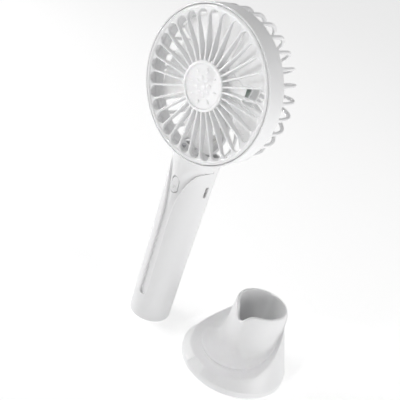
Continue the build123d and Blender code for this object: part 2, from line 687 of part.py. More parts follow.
def make_battery_leads():
    """Two wires from the cell's tabs to the back of the control board."""
    back = BOARD_FRONT + BOARD_THICKNESS
    top = CELL_BOTTOM + CELL_LENGTH
    plus = [(0, 3.5, top + 0.8), (0, 7.0, top + 3), (3.5, 5.5, top + 8), (6.5, back + 0.6, top + 11)]
    minus = [(-10.6, 0, CELL_BOTTOM - 0.1), (-10.6, 0, 72), (-10.2, 1.5, 84), (-7.5, back + 0.6, 90)]
    return group([tube_along(plus, 2.0), tube_along(minus, [8, 4])])


# ---------------------------------------------------------------- stand
def under_deck(rise):
    """Everything below the deck, which is low at the front and climbs towards the back."""
    line = [(y, z + rise) for y, z in DECK_LINE]
    closing = Polyline(line[-1], (60, line[-1][1] + 12), (60, -5), (-60, -5), (-60, line[0][1]), line[0])
    return extrude(Plane.YZ * make_face(Spline(*line) + closing), 50, both=True)


def base_body():
    """Round base with an upright band and a skirt that leans up to the cup at the back."""
    band = disc(BASE_R, 1.0, BASE_BAND)
    band = fillet(band.edges().group_by(Axis.Z)[-1], 0.6)
    low = Plane.XY.offset(BASE_BAND) * Circle(BASE_R - 0.6)
    high = Pos(0, CUP_BACK, SKIRT_TOP) * Circle(CUP_BORE_R + CUP_WALL + 1.0)
    skirt = loft([low.face(), high.face()])
    inner_deck = disc(INNER_DECK_R, BASE_BAND, SKIRT_TOP)
    return band + (skirt & under_deck(0)) + (skirt & inner_deck & under_deck(DECK_STEP))


def cup_flare():
    """Cup wall and the foot that flares out on to the inner deck."""
    top_r = CUP_BORE_R + CUP_WALL
    points = [(top_r - 0.5, STAND_HEIGHT)] + [(top_r + beyond, z) for beyond, z in CUP_FLARE]
    side = Spline(*points, tangents=[(0.02, -1), (1, -0.1)])
    wide = points[-1][0]
    closing = Polyline(points[-1], (wide, 5), (0, 5), (0, STAND_HEIGHT), points[0])
    flare = Pos(0, CUP_BACK, 0) * revolve(Plane.XZ * make_face(side + closing), Axis.Z)
    rim = flare.edges().filter_by(GeomType.CIRCLE).group_by(Axis.Z)[-1]
    return fillet(rim, 1.2) & disc(INNER_DECK_R, 5, STAND_HEIGHT + 1)


def cup_dip():
    """Cutter for the dip in the front of the cup's rim, which matches the sleeve's neckline."""
    half = DIP_HALF
    spread = [(half, DIP_LOW + half)] + [(across, DIP_LOW + above) for across, above in DIP_EDGE]
    side = Spline(*spread, tangents=[(0, 1), (1, 0.5)])
    wide, top = spread[-1][0], STAND_HEIGHT + 8
    outline = Curve() + [
        ThreePointArc((-half, DIP_LOW + half), (0, DIP_LOW), (half, DIP_LOW + half)),
        side,
        Polyline(spread[-1], (wide, top), (-wide, top), (-wide, spread[-1][1])),
        side.mirror(Plane.YZ),
    ]
    return Pos(0, CUP_BACK, 0) * extrude(Plane.XZ * make_face(outline), 40)


def make_stand_shell():
    """Moulded upper: base, sloping deck, raised inner deck and the cup that holds the handle."""
    body = base_body() + cup_flare()
    bore = Pos(0, CUP_BACK, 0) * disc(CUP_BORE_R, CUP_FLOOR, STAND_HEIGHT + 1)
    hollow = disc(BASE_R - SHELL_WALL, 0, BASE_BAND - SHELL_WALL)
    under_cup = Pos(0, CUP_BACK, 0) * disc(BALLAST_R + 0.4, 0, CUP_FLOOR - SHELL_WALL)
    wedge = Plane.XZ * Trapezoid(NOTCH_WIDTH, NOTCH_HEIGHT, NOTCH_SLOPE, rotation=180)
    notch = Pos(0, -BASE_R, NOTCH_Z) * extrude(wedge, NOTCH_DEPTH, both=True)
    body -= [bore, hollow, under_cup, notch, cup_dip()]
    for x, y in BASE_SCREWS:
        body += rod((x, y, BASE_BAND - 1), (x, y, PLATE_TOP + 0.1), 2.6)
        body -= rod((x, y, 2), (x, y, BASE_BAND - 0.9), 0.9)
    return on_stand(body)


def make_stand_base_plate():
    plate = disc(BASE_R - SHELL_WALL - FIT_GAP, PLATE_BOTTOM, PLATE_TOP)
    for x, y in BASE_SCREWS:
        plate -= rod((x, y, 0), (x, y, PLATE_TOP + 1), 1.2)
        plate -= rod((x, y, 0), (x, y, PLATE_BOTTOM + 0.9), 2.3)
    return on_stand(plate)


def make_ballast_ring():
    """Steel weight under the cup, clamped by the base plate."""
    weight = disc(BALLAST_R, PLATE_TOP + 0.1, CUP_FLOOR - SHELL_WALL - 0.4)
    return on_stand(Pos(0, CUP_BACK, 0) * weight)


def make_base_screws():
    screws = []
    seat = PLATE_BOTTOM + 0.9
    for x, y in BASE_SCREWS:
        shank = rod((x, y, seat), (x, y, BASE_BAND - 1.0), 0.85)
        screws.append(shank + rod((x, y, PLATE_BOTTOM + 0.05), (x, y, seat), 2.1))
    return on_stand(group(screws))


def make_anti_slip_pad():
    """Rubber ring that the stand rests on."""
    foot = ring(BASE_R - 1.4, BASE_R - 14, 0, 1.0)
    return on_stand(foot + ring(BASE_R - 3, BASE_R - 13, 0.9, PLATE_BOTTOM))


PARTS = {
    "front_grille": make_front_grille,
    "hub_badge": make_hub_badge,
    "head_housing": make_head_housing,
    "rear_cage": make_rear_cage,
    "cage_ribs": make_cage_ribs,
    "rear_cap": make_rear_cap,
    "impeller": make_impeller,
    "rotor_can": make_rotor_can,
    "rotor_magnet": make_rotor_magnet,
    "motor_shaft": make_motor_shaft,
    "shaft_clip": make_shaft_clip,
    "front_bearing": lambda: make_bearing(FRONT_BEARING),
    "rear_bearing": lambda: make_bearing(REAR_BEARING),
    "motor_base": make_motor_base,
    "stator_core": make_stator_core,
    "stator_coils": make_stator_coils,
    "motor_board": make_motor_board,
    "motor_screws": make_motor_screws,
    "motor_leads": make_motor_leads,
    "neck_collar": make_neck_collar,
    "neck_screws": make_neck_screws,
    "handle_sleeve": make_handle_sleeve,
    "core_front": make_core_front,
    "core_rear": make_core_rear,
    "core_screws": make_core_screws,
    "bottom_cap": make_bottom_cap,
    "power_button": make_power_button,
    "switch_plunger": make_switch_plunger,
    "tact_switch": make_tact_switch,
    "control_board": make_control_board,
    "board_chips": make_board_chips,
    "board_screws": make_board_screws,
    "usb_port": make_usb_port,
    "battery_cell": make_battery_cell,
    "battery_tabs": make_battery_tabs,
    "battery_pad": make_battery_pad,
    "battery_leads": make_battery_leads,
    "stand_shell": make_stand_shell,
    "stand_base_plate": make_stand_base_plate,
    "ballast_ring": make_ballast_ring,
    "base_screws": make_base_screws,
    "anti_slip_pad": make_anti_slip_pad,
}

os.makedirs("parts", exist_ok=True)
for name, make in PARTS.items():
    export_step(make(), f"parts/{name}.step")
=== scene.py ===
"""Looks of a cordless hand fan and its desk stand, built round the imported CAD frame.

Lengths in this script are millimetres, and build() turns them into metres. The fan stands on the
floor with its handle along +Z and its front towards -Y. Head coordinates are (radius, angle
clockwise from the top seen from the front, depth behind the front rim plane). Lights, the
camera and the relief of the materials are in metres.
"""

import json
from math import asin, atan2, cos, exp, pi, radians, sin, sqrt, tan

import bmesh
import bpy
from mathutils import Matrix, Vector


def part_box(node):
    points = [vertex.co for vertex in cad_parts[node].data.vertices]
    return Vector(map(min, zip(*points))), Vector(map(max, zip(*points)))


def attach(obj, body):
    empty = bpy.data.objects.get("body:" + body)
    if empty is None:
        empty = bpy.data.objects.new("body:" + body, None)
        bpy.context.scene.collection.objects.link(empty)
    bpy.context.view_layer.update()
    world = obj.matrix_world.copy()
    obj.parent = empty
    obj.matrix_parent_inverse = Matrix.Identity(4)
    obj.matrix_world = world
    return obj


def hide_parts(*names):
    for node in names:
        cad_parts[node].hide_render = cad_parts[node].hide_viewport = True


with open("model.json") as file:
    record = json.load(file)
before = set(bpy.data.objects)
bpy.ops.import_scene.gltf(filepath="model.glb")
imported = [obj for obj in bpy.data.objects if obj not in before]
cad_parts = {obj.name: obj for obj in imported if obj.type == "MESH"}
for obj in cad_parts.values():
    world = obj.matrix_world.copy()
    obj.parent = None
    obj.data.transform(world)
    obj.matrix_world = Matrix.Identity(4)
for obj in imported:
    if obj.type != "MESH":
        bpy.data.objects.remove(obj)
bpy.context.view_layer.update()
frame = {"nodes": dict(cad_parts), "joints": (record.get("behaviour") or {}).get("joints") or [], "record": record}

MM = 0.001


# ---------------------------------------------------------------- sizes taken from the frame
def limits(node):
    """Lowest and highest corner of a CAD node, in millimetres."""
    low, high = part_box(node)
    return low / MM, high / MM


def mount(name):
    """Place and sizes of a mount of the record."""
    found = next(m for m in frame["record"]["mounts"] if m["name"] == name)
    return Vector(found["pos_m"]) / MM, found["dims"]


spin = next(joint for joint in frame["joints"] if joint["name"] == "impeller_spin")
HEAD_Z = spin["pos_m"][2] / MM

HOUSING_LOW, HOUSING_HIGH = limits("head_housing")
RING_R = (HOUSING_HIGH.x - HOUSING_LOW.x) / 2
RING_DEPTH = 12.5
RING_WALL = 1.7
LIP_R = 49.35
LIP_FRONT = -0.4
HEAD_FRONT = HOUSING_HIGH.y - RING_DEPTH

GRILLE_LOW, GRILLE_HIGH = limits("front_grille")
RIM_R = (GRILLE_HIGH.x - GRILLE_LOW.x) / 2
BEAD_INSIDE, BEAD_OUTSIDE = 46.3, 49.0
BEAD_FRONT, BEAD_BACK = -0.9, 3.1
SPOKES = 30
PITCH = 2 * pi / SPOKES
FIRST_SPOKE = radians(-16.8)
SPOKE_HALF = 0.62
SPOKE_CROWN, SPOKE_FOOT = 0.58, 0.3
WEB_R = 42.5
WEB_HOLE_R = 3.85
HUB_R = 15.9
HUB_WALL = 1.6
HUB_FRONT = GRILLE_LOW.y - HEAD_FRONT
HUB_BACK = 5.0
SEAT_FRONT, SEAT_BACK = -1.0, 0.6
SPOKE_FRONT_LINE = [(HUB_R, -1.3), (WEB_R, -0.35), (RIM_R, -0.2)]
SPOKE_BACK_LINE = [(HUB_R, HUB_BACK), (25, 4.4), (36, 3.3), (WEB_R, 2.3), (RIM_R, 1.6)]

BADGE_R = 13.9
BADGE_FACE = limits("hub_badge")[0].y - HEAD_FRONT + 0.75
BADGE_THICK = 0.8
DASHES = 8

CAGE_DEPTH = limits("cage_ribs")[1].y - HEAD_FRONT
CAGE_R = limits("cage_ribs")[1].x
CAGE_CORNER = 15.0
CAGE_HUB_R = 18.0
RIB_START, RIB_END_R = RING_DEPTH + 1.3, CAGE_HUB_R - 0.4
RIB_HALF_THICK, RIB_HALF_WIDE, RIB_CORNER = 1.2, 1.05, 0.8
DUCT_ANGLE = radians(181.2)
DUCT_HALF_THICK, DUCT_HALF_WIDE, DUCT_CORNER = 0.5, 3.2, 0.35

IMPELLER_LOW, IMPELLER_HIGH = limits("impeller")
IMPELLER_R = (IMPELLER_HIGH.z - IMPELLER_LOW.z) / 2
IMPELLER_FRONT = IMPELLER_LOW.y - HEAD_FRONT
IMPELLER_BACK = IMPELLER_HIGH.y - HEAD_FRONT
IMPELLER_HUB_R = 15.0
IMPELLER_BORE_R = 12.6
IMPELLER_WEB = 2.2
BLADES = 5
FIRST_BLADE = radians(44)
# Length of a blade's section, and its angle to the wheel's plane in degrees, at three radii.
BLADE_CHORD = [(13.2, 17), (28, 29), (44.5, 46)]
BLADE_PITCH = [(13.2, 38), (28, 27), (44.5, 18)]
BLADE_CAMBER = 0.05
BLADE_ROOT_HALF, BLADE_TIP_HALF = 0.85, 0.45

HANDLE_R_LOW = mount("handle_end")[1]["r_mm"]
SLEEVE_TOP = limits("handle_sleeve")[1].z
HANDLE_R_HIGH = limits("handle_sleeve")[1].x
STRAIGHT_END = 38.0
SLEEVE_WALL = 1.5
FOOT_HOLE_R = 11.05
FOOT_CORNER = 1.7
CHANNEL_HALF = 2.85
CHANNEL_END = 20.0
NECKLINE_START = 70.0
NECKLINE_SPREAD, NECKLINE_POWER = 12, 3.3
SHOULDER_SPREAD, SHOULDER_POWER = 4.5, 40
EDGE_ROUND = 0.8
ROUNDED_TO = 112.0

CORE_LOW = limits("core_front")[0].z
CORE_WALL = 1.4
CHANNEL_RECESS, SIDE_RECESS = 1.58, 0.35
VALLEY_WIDTH = 8.5
VALLEY_START, VALLEY_RISE = 88, 16

BUTTON_LOW, BUTTON_HIGH = limits("power_button")
BUTTON_Z = (BUTTON_LOW.z + BUTTON_HIGH.z) / 2
BUTTON_FACE_R = -BUTTON_LOW.y
BUTTON_HALF_LENGTH = 5.75
BUTTON_HALF_WIDTH = 2.8
FLANGE_LOW_R, FLANGE_HIGH_R, KEY_FOOT_R = 12.4, 12.9, 12.95
POCKET_GAP = 0.55
MARK_DROP = 2.0
MARK_R = 1.05
PORT = mount("charging_port")[0]
PORT_HALF_WIDTH, PORT_HALF_LENGTH, PORT_CORNER = 1.4, 4.2, 1.39

PAD_LOW, PAD_HIGH = limits("anti_slip_pad")
STAND = Vector(((PAD_LOW.x + PAD_HIGH.x) / 2, (PAD_LOW.y + PAD_HIGH.y) / 2, 0))
CUP, CUP_DIMS = mount("stand_cup")
CUP_BACK = (CUP.xy - STAND.xy).length
STAND_TURN = atan2(STAND.x - CUP.x, CUP.y - STAND.y)
STAND_LOW, STAND_HIGH = limits("stand_shell")
BASE_R = (STAND_HIGH.x - STAND_LOW.x) / 2
BASE_WALL = 2.2
BASE_BAND = 6.0
CUP_R = CUP_DIMS["r_mm"]
CUP_WALL = 2.9
CUP_OUTER_R = CUP_R + CUP_WALL
CUP_FLOOR = CUP.z - CUP_DIMS["length_mm"] / 2
HOLLOW_R, HOLLOW_TOP = 14.4, 11.7
SKIRT_TOP, SKIRT_TOP_R = 40.0, CUP_OUTER_R + 1.0
RIM_ROUND = 1.2
# Height of the deck at distances behind the middle of the base.
DECK_LINE = [(-40, 9.3), (-27, 11.0), (-10, 15.0), (4, 22.5), (15, 33), (24, 45), (40, 66)]
DECK_STEP = 1.5
FLARE_START_PULL, FLARE_END_PULL = 2.1, 2.2
DIP_DEPTH, DIP_HALF, DIP_POWER = 10.4, 5.0, 2.7
STAND_STEPS = 216


# ---------------------------------------------------------------- mesh helpers
def build(name, shells, sharp=38):
    """Object from a list of (points, faces) shells, smooth but for edges sharper than an angle."""
    points, faces = [], []
    for shell_points, shell_faces in shells:
        start = len(points)
        points += [Vector(p) * MM for p in shell_points]
        faces += [[start + i for i in face] for face in shell_faces]
    mesh = bpy.data.meshes.new(name)
    mesh.from_pydata(points, [], faces)
    piece = bpy.data.objects.new(name, mesh)
    bpy.context.scene.collection.objects.link(piece)
    tidy(piece, sharp)
    return piece


def tidy(piece, sharp=38):
    """Merges doubled points, drops flat faces, turns the faces outwards and shades them."""
    mesh = piece.data
    bm = bmesh.new()
    bm.from_mesh(mesh)
    bmesh.ops.remove_doubles(bm, verts=bm.verts, dist=2e-6)
    bmesh.ops.dissolve_degenerate(bm, edges=bm.edges, dist=1e-7)
    bmesh.ops.delete(bm, geom=[edge for edge in bm.edges if not edge.link_faces], context="EDGES")
    bmesh.ops.recalc_face_normals(bm, faces=bm.faces)
    if bm.calc_volume(signed=True) < 0:
        bmesh.ops.reverse_faces(bm, faces=bm.faces)
    bm.to_mesh(mesh)
    bm.free()
    mesh.shade_smooth()
    mesh.set_sharp_from_angle(angle=radians(sharp))


def apply_modifiers(piece, sharp=38):
    """Keeps the mesh that the modifiers make, and takes the modifiers off."""
    graph = bpy.context.evaluated_depsgraph_get()
    mesh = bpy.data.meshes.new_from_object(piece.evaluated_get(graph))
    piece.modifiers.clear()
    piece.data = mesh
    tidy(piece, sharp)


def skin(rings, closed=True, looped=False, capped=True):
    """Faces between rings of points: closed joins each ring's ends, looped the last ring to the first."""
    count = len(rings[0])
    points = [p for ring in rings for p in ring]
    faces = []
    last = len(rings) if looped else len(rings) - 1
    width = count if closed else count - 1
    for i in range(last):
        for j in range(width):
            a, b = i * count, (i + 1) % len(rings) * count
            k = (j + 1) % count
            faces.append([a + j, a + k, b + k, b + j])
    if capped and closed and not looped:
        faces.append(list(range(count)))
        faces.append([(len(rings) - 1) * count + j for j in range(count)])
    return points, faces


def rounded(corners, steps=4):
    """Closed outline with round corners, from (across, along, corner radius) points."""
    outline = []
    for i, (x, y, radius) in enumerate(corners):
        here = Vector((x, y))
        if not radius:
            outline.append(here)
            continue
        before = (Vector(corners[i - 1][:2]) - here).normalized()
        after = (Vector(corners[(i + 1) % len(corners)][:2]) - here).normalized()
        half = before.angle(after) / 2
        centre = here + (before + after).normalized() * radius / sin(half)
        start = here + before * radius / tan(half) - centre
        end = here + after * radius / tan(half) - centre
        for k in range(steps + 1):
            outline.append(centre + start.lerp(end, k / steps).normalized() * radius)
    return outline


def on_head(radius, angle, depth, across=0.0):
    """Point from head coordinates; across is a distance square to the radius, clockwise."""
    x = radius * sin(angle) + across * cos(angle)
    z = radius * cos(angle) - across * sin(angle)
    return Vector((x, HEAD_FRONT + depth, HEAD_Z + z))


def head_lathe(outline, steps=180):
    """Solid turned about the head's axis from (radius, depth) points."""
    rings = [[on_head(r, 2 * pi * i / steps, d) for r, d in outline] for i in range(steps)]
    return skin(rings, looped=True)


def smooth(t):
    """Eases from 0 to 1 while t goes from 0 to 1, and stays level outside."""
    t = max(0.0, min(1.0, t))
    return t * t * (3 - 2 * t)


def mix(a, b, t):
    """Value between a and b, at a share t of the way."""
    return a + (b - a) * t


def follow(table, x):
    """Value at x on a line of (x, value) points."""
    for (x0, v0), (x1, v1) in zip(table, table[1:]):
        if x <= x1:
            return mix(v0, v1, max(0.0, (x - x0) / (x1 - x0)))
    return table[-1][1]


def place(piece, body, slot, *nodes):
    """Puts a piece on its body, with the material of its slot, in place of CAD nodes."""
    piece.data.materials.clear()
    piece.data.materials.append(MATERIALS[slot])
    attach(piece, body)
    if nodes:
        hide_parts(*nodes)


def cut(piece, cutter):
    """Takes the cutter's shape out of a piece."""
    change = piece.modifiers.new("cut", "BOOLEAN")
    change.operation = "DIFFERENCE"
    change.solver = "EXACT"
    change.use_self = True
    change.object = cutter
    apply_modifiers(piece)
    bpy.data.objects.remove(cutter)


# ---------------------------------------------------------------- materials
class Finish:
    """Node material: a base colour with slow variation, worn edges, uneven gloss and a fine grain."""

    def __init__(self, name, colour, roughness, metallic=0.0, specular=0.5):
        self.material = bpy.data.materials.new(name)
        self.material.use_nodes = True
        self.nodes = self.material.node_tree.nodes
        self.links = self.material.node_tree.links
        self.shader = self.nodes["Principled BSDF"]
        self.shader.inputs["Metallic"].default_value = metallic
        self.shader.inputs["Specular IOR Level"].default_value = specular
        self.shader.inputs["Roughness"].default_value = roughness
        self.roughness = roughness
        self.colour = self.plain(colour)
        self.place = self.nodes.new("ShaderNodeTexCoord").outputs["Object"]
        self.height = None

    def plain(self, colour):
        """Socket that gives one even colour."""
        node = self.nodes.new("ShaderNodeRGB")
        node.outputs[0].default_value = (*colour, 1)
        return node.outputs[0]

    def stretched(self, scale):
        """Object coordinates scaled along each axis."""
        node = self.nodes.new("ShaderNodeMapping")
        node.inputs["Scale"].default_value = scale
        self.links.new(self.place, node.inputs["Vector"])
        return node.outputs["Vector"]

    def noise(self, scale, detail=3.0, stretch=None):
        """Noise whose features are about 1/scale metres across."""
        node = self.nodes.new("ShaderNodeTexNoise")
        node.inputs["Scale"].default_value = scale
        node.inputs["Detail"].default_value = detail
        place = self.stretched(stretch) if stretch else self.place
        self.links.new(place, node.inputs["Vector"])
        return node.outputs["Fac"]

    def levels(self, value, low, high, out_low=0.0, out_high=1.0):
        """Value mapped from low..high to out_low..out_high."""
        node = self.nodes.new("ShaderNodeMapRange")
        node.inputs["From Min"].default_value = low
        node.inputs["From Max"].default_value = high
        node.inputs["To Min"].default_value = out_low
        node.inputs["To Max"].default_value = out_high
        self.links.new(value, node.inputs["Value"])
        return node.outputs["Result"]

    def tint(self, colour, amount):
        """Mixes a colour in by an amount that changes over the surface."""
        node = self.nodes.new("ShaderNodeMix")
        node.data_type = "RGBA"
        self.links.new(amount, node.inputs["Factor"])
        self.links.new(self.colour, node.inputs["A"])
        node.inputs["B"].default_value = (*colour, 1)
        self.colour = node.outputs["Result"]
        return self

    def vary(self, colour, scale, strength, stretch=None):
        """Slow drift towards another colour."""
        drift = self.noise(scale, 4.0, stretch)
        return self.tint(colour, self.levels(drift, 0.35, 0.75, 0.0, strength))

    def worn(self, colour, strength, start=0.52, end=0.62):
        """Another colour along convex edges."""
        pointiness = self.nodes.new("ShaderNodeNewGeometry").outputs["Pointiness"]
        return self.tint(colour, self.levels(pointiness, start, end, 0.0, strength))

    def uneven(self, scale, spread, stretch=None):
        """Gloss that changes over the surface."""
        low, high = self.roughness - spread, self.roughness + spread
        value = self.levels(self.noise(scale, 4.0, stretch), 0.3, 0.7, low, high)
        self.links.new(value, self.shader.inputs["Roughness"])
        return self

    def grain(self, scale, height, stretch=None, detail=2.0):
        """Fine relief, with its height in metres."""
        return self.relief(self.noise(scale, detail, stretch), height)

    def relief(self, value, height):
        """Bump from a value, on top of the bumps made before."""
        node = self.nodes.new("ShaderNodeBump")
        node.inputs["Distance"].default_value = height
        node.inputs["Strength"].default_value = 1.0
        self.links.new(value, node.inputs["Height"])
        if self.height:
            self.links.new(self.height, node.inputs["Normal"])
        self.height = node.outputs["Normal"]
        return self

    def done(self):
        """Connects the colour and the relief, and gives the material."""
        self.links.new(self.colour, self.shader.inputs["Base Color"])
        if self.height:
            self.links.new(self.height, self.shader.inputs["Normal"])
        return self.material


def plastic(name, colour, roughness, grain, depth=0.0):
    """Satin moulded plastic with a faint drift, fine spark-eroded grain and lighter edges.

    A depth in metres makes it translucent and gives it a faint glow in its own colour: painted light that
    brightens the part where it sits in shade.
    """
    finish = Finish(name, colour, roughness, specular=0.45)
    if depth:
        finish.shader.inputs["Subsurface Weight"].default_value = 0.7
        finish.shader.inputs["Subsurface Radius"].default_value = (1, 1, 1)
        finish.shader.inputs["Subsurface Scale"].default_value = depth
        # painted light: a faint glow in the part's own colour, brightening it where it lies in shade
        finish.shader.inputs["Emission Color"].default_value = (*colour, 1)
        finish.shader.inputs["Emission Strength"].default_value = 0.07
    finish.vary([c * 0.965 for c in colour], 45, 0.7)
    finish.worn([min(1.0, c * 1.06) for c in colour], 0.6)
    finish.uneven(260, 0.05).grain(2600, grain).grain(700, grain * 0.6)
    return finish.done()


def metal(name, colour, roughness, stretch=None):
    """Bare metal with tool marks along the stretched direction and polished edges."""
    finish = Finish(name, colour, roughness, metallic=1.0)
    finish.vary([c * 0.78 for c in colour], 160, 0.6, stretch)
    finish.worn([min(1.0, c * 1.25) for c in colour], 0.8)
    return finish.uneven(500, 0.09, stretch).grain(1800, 6e-6, stretch).done()


def dark_iron(name, colour):
    """Lacquered laminated iron, with the edges of the sheets showing as fine lines."""
    finish = Finish(name, colour, 0.42, metallic=0.6)
    finish.vary([c * 1.7 for c in colour], 220, 0.5).worn((0.45, 0.43, 0.42), 0.7)
    wave = finish.nodes.new("ShaderNodeTexWave")
    wave.bands_direction = "Y"
    wave.inputs["Scale"].default_value = 320
    finish.links.new(finish.place, wave.inputs["Vector"])
    return finish.relief(wave.outputs["Fac"], 2e-5).uneven(400, 0.1).done()


def winding(name):
    """Enamelled copper wire laid in turns."""
    finish = Finish(name, (0.66, 0.27, 0.11), 0.28, metallic=1.0)
    finish.vary((0.42, 0.14, 0.05), 900, 0.6)
    wave = finish.nodes.new("ShaderNodeTexWave")
    wave.bands_direction = "DIAGONAL"
    wave.inputs["Scale"].default_value = 900
    wave.inputs["Distortion"].default_value = 1.5
    finish.links.new(finish.place, wave.inputs["Vector"])
    return finish.relief(wave.outputs["Fac"], 6e-5).uneven(600, 0.08).done()


def solder_mask(name):
    """Green circuit board with copper tracks under the lacquer."""
    finish = Finish(name, (0.022, 0.16, 0.062), 0.3)
    tracks = finish.nodes.new("ShaderNodeTexBrick")
    tracks.inputs["Scale"].default_value = 260
    tracks.inputs["Mortar Size"].default_value = 0.03
    finish.links.new(finish.place, tracks.inputs["Vector"])
    finish.tint((0.05, 0.30, 0.12), tracks.outputs["Fac"]).vary((0.012, 0.10, 0.04), 300, 0.5)
    return finish.relief(tracks.outputs["Fac"], 2e-5).uneven(500, 0.06).grain(2400, 4e-6).done()


def rubber(name, colour):
    """Dull rubber with a pebbled skin and dusty edges."""
    finish = Finish(name, colour, 0.72, specular=0.3)
    finish.vary([c * 0.8 for c in colour], 120, 0.8).worn([min(1, c * 1.3) for c in colour], 0.5)
    return finish.uneven(300, 0.08).grain(1500, 2.5e-5).done()


def foam(name):
    """Closed-cell foam."""
    finish = Finish(name, (0.05, 0.05, 0.055), 0.9, specular=0.2)
    cells = finish.nodes.new("ShaderNodeTexVoronoi")
    cells.inputs["Scale"].default_value = 1400
    finish.links.new(finish.place, cells.inputs["Vector"])
    finish.tint((0.12, 0.12, 0.125), finish.levels(cells.outputs["Distance"], 0.1, 0.6))
    return finish.relief(cells.outputs["Distance"], 8e-5).done()


def shrink_wrap(name):
    """Glossy film shrunk on a cell, with faint creases round it."""
    finish = Finish(name, (0.045, 0.13, 0.33), 0.24, specular=0.6)
    finish.vary((0.03, 0.08, 0.22), 90, 0.6).worn((0.12, 0.24, 0.45), 0.5)
    return finish.uneven(200, 0.06).grain(160, 4e-5, (1, 1, 7)).done()


def package(name):
    """Moulded epoxy of chips, dull black with a sandy surface."""
    finish = Finish(name, (0.022, 0.022, 0.025), 0.55)
    finish.vary((0.045, 0.045, 0.05), 500, 0.7).worn((0.12, 0.12, 0.12), 0.5)
    return finish.uneven(700, 0.08).grain(3000, 8e-6).done()


def casting(name, colour):
    """Plain cast metal with a rough skin."""
    finish = Finish(name, colour, 0.6, metallic=0.8)
    finish.vary([c * 0.6 for c in colour], 140, 0.8).worn([min(1, c * 2) for c in colour], 0.6)
    return finish.uneven(250, 0.1).grain(420, 6e-5, detail=6.0).done()


TURNED = (1, 1, 14)
MATERIALS = {
    "shell_white": plastic("shell_white", (0.91, 0.91, 0.915), 0.36, 5e-6),
    "core_white": plastic("core_white", (0.90, 0.90, 0.905), 0.40, 5e-6),
    # painted light: the impeller's white is lighter than the shell's and glows faintly, to brighten the blades in
    # the shade inside the head
    "impeller_white": plastic("impeller_white", (0.96, 0.96, 0.96), 0.30, 2e-6, 0.003),
    "badge_grey": plastic("badge_grey", (0.88, 0.88, 0.885), 0.44, 8e-6),
    "steel": metal("steel", (0.56, 0.56, 0.58), 0.34, TURNED),
    "bearing_steel": metal("bearing_steel", (0.70, 0.70, 0.72), 0.16),
    "motor_iron": dark_iron("motor_iron", (0.06, 0.062, 0.07)),
    "magnet": casting("magnet", (0.07, 0.07, 0.075)),
    "copper": winding("copper"),
    "motor_alloy": casting("motor_alloy", (0.78, 0.79, 0.80)),
    "circuit_board": solder_mask("circuit_board"),
    "component_black": package("component_black"),
    "port_steel": metal("port_steel", (0.62, 0.61, 0.60), 0.26, (1, 14, 1)),
    "cell_wrap": shrink_wrap("cell_wrap"),
    "nickel": metal("nickel", (0.66, 0.64, 0.60), 0.30, (14, 1, 1)),
    "foam": foam("foam"),
    "wire": rubber("wire", (0.74, 0.74, 0.72)),
    "rubber_grey": rubber("rubber_grey", (0.40, 0.40, 0.41)),
    "cast_weight": casting("cast_weight", (0.20, 0.20, 0.21)),
}


def finish_cad_nodes():
    """Gives every CAD node the material of its own slot."""
    for part in frame["record"]["subparts"]:
        node = frame["nodes"][part["node"]]
        node.data.materials.clear()
        node.data.materials.append(MATERIALS[part["material_slot"]])


# ---------------------------------------------------------------- head: front grille
def spoke_half(r):
    """Half the width of a spoke, which spreads into the webs between the rounded openings."""
    if r <= WEB_R:
        return SPOKE_HALF
    beside = r * sin(PITCH / 2)
    if r >= WEB_R + WEB_HOLE_R:
        return beside - 0.01
    return max(SPOKE_HALF, beside - sqrt(WEB_HOLE_R**2 - (r - WEB_R) ** 2))


def spoke_section(r):
    """Outline of a spoke across its radius, as (across, depth) points."""
    front, back = follow(SPOKE_FRONT_LINE, r), follow(SPOKE_BACK_LINE, r)
    half = spoke_half(r)
    crown, foot = min(SPOKE_CROWN, half * 0.93), min(SPOKE_FOOT, half * 0.5)
    corners = [(-half, front, crown), (half, front, crown), (half, back, foot), (-half, back, foot)]
    return rounded(corners)


def make_grille():
    """Rim bead, hub cup and spokes of the front grille, in one piece."""
    rim = rounded([
        (BEAD_INSIDE, BEAD_FRONT, 1.25), (BEAD_OUTSIDE, BEAD_FRONT, 1.25),
        (BEAD_OUTSIDE, BEAD_BACK, 0.3), (BEAD_INSIDE, BEAD_BACK, 0.3),
    ], 6)
    seat, lip, inside = BADGE_R + 0.15, HUB_FRONT + 0.05, HUB_R - HUB_WALL
    hub = rounded([
        (seat, lip, 0.35), (HUB_R, lip, 1.25), (HUB_R, HUB_BACK, 0.4), (inside, HUB_BACK, 0.3),
        (inside, SEAT_BACK, 0.3), (0, SEAT_BACK, 0), (0, SEAT_FRONT, 0), (seat, SEAT_FRONT, 0.1),
    ])
    shells = [head_lathe(rim), head_lathe(hub)]
    radii = [HUB_R - 0.7, HUB_R + 0.6, 20, 25, 30, 35, 39, 41.6]
    radii += [WEB_R + WEB_HOLE_R * sin(radians(turn)) for turn in range(0, 91, 10)]
    radii.append(BEAD_INSIDE + 0.7)
    for i in range(SPOKES):
        angle = FIRST_SPOKE + i * PITCH
        rings = [[on_head(r, angle, d, u) for u, d in spoke_section(r)] for r in radii]
        shells.append(skin(rings))
    return build("grille", shells, sharp=50)


def dome(r, angle, half_long, half_wide, base, rise):
    """Low oval bump on the badge, long along the radius, with its foot sunk into the face."""
    steps, rings = 20, []
    for level in (0.0, 0.35, 0.65, 0.88, 1.0):
        shrink = sqrt(1 - level**2) if level < 1 else 0.04
        ring = []
        for k in range(steps):
            turn = 2 * pi * k / steps
            along, across = half_long * shrink * cos(turn), half_wide * shrink * sin(turn)
            ring.append(on_head(r + along, angle, base - rise * level, across))
        rings.append(ring)
    foot = [point + Vector((0, 0.3, 0)) for point in rings[0]]
    return skin([foot] + rings)


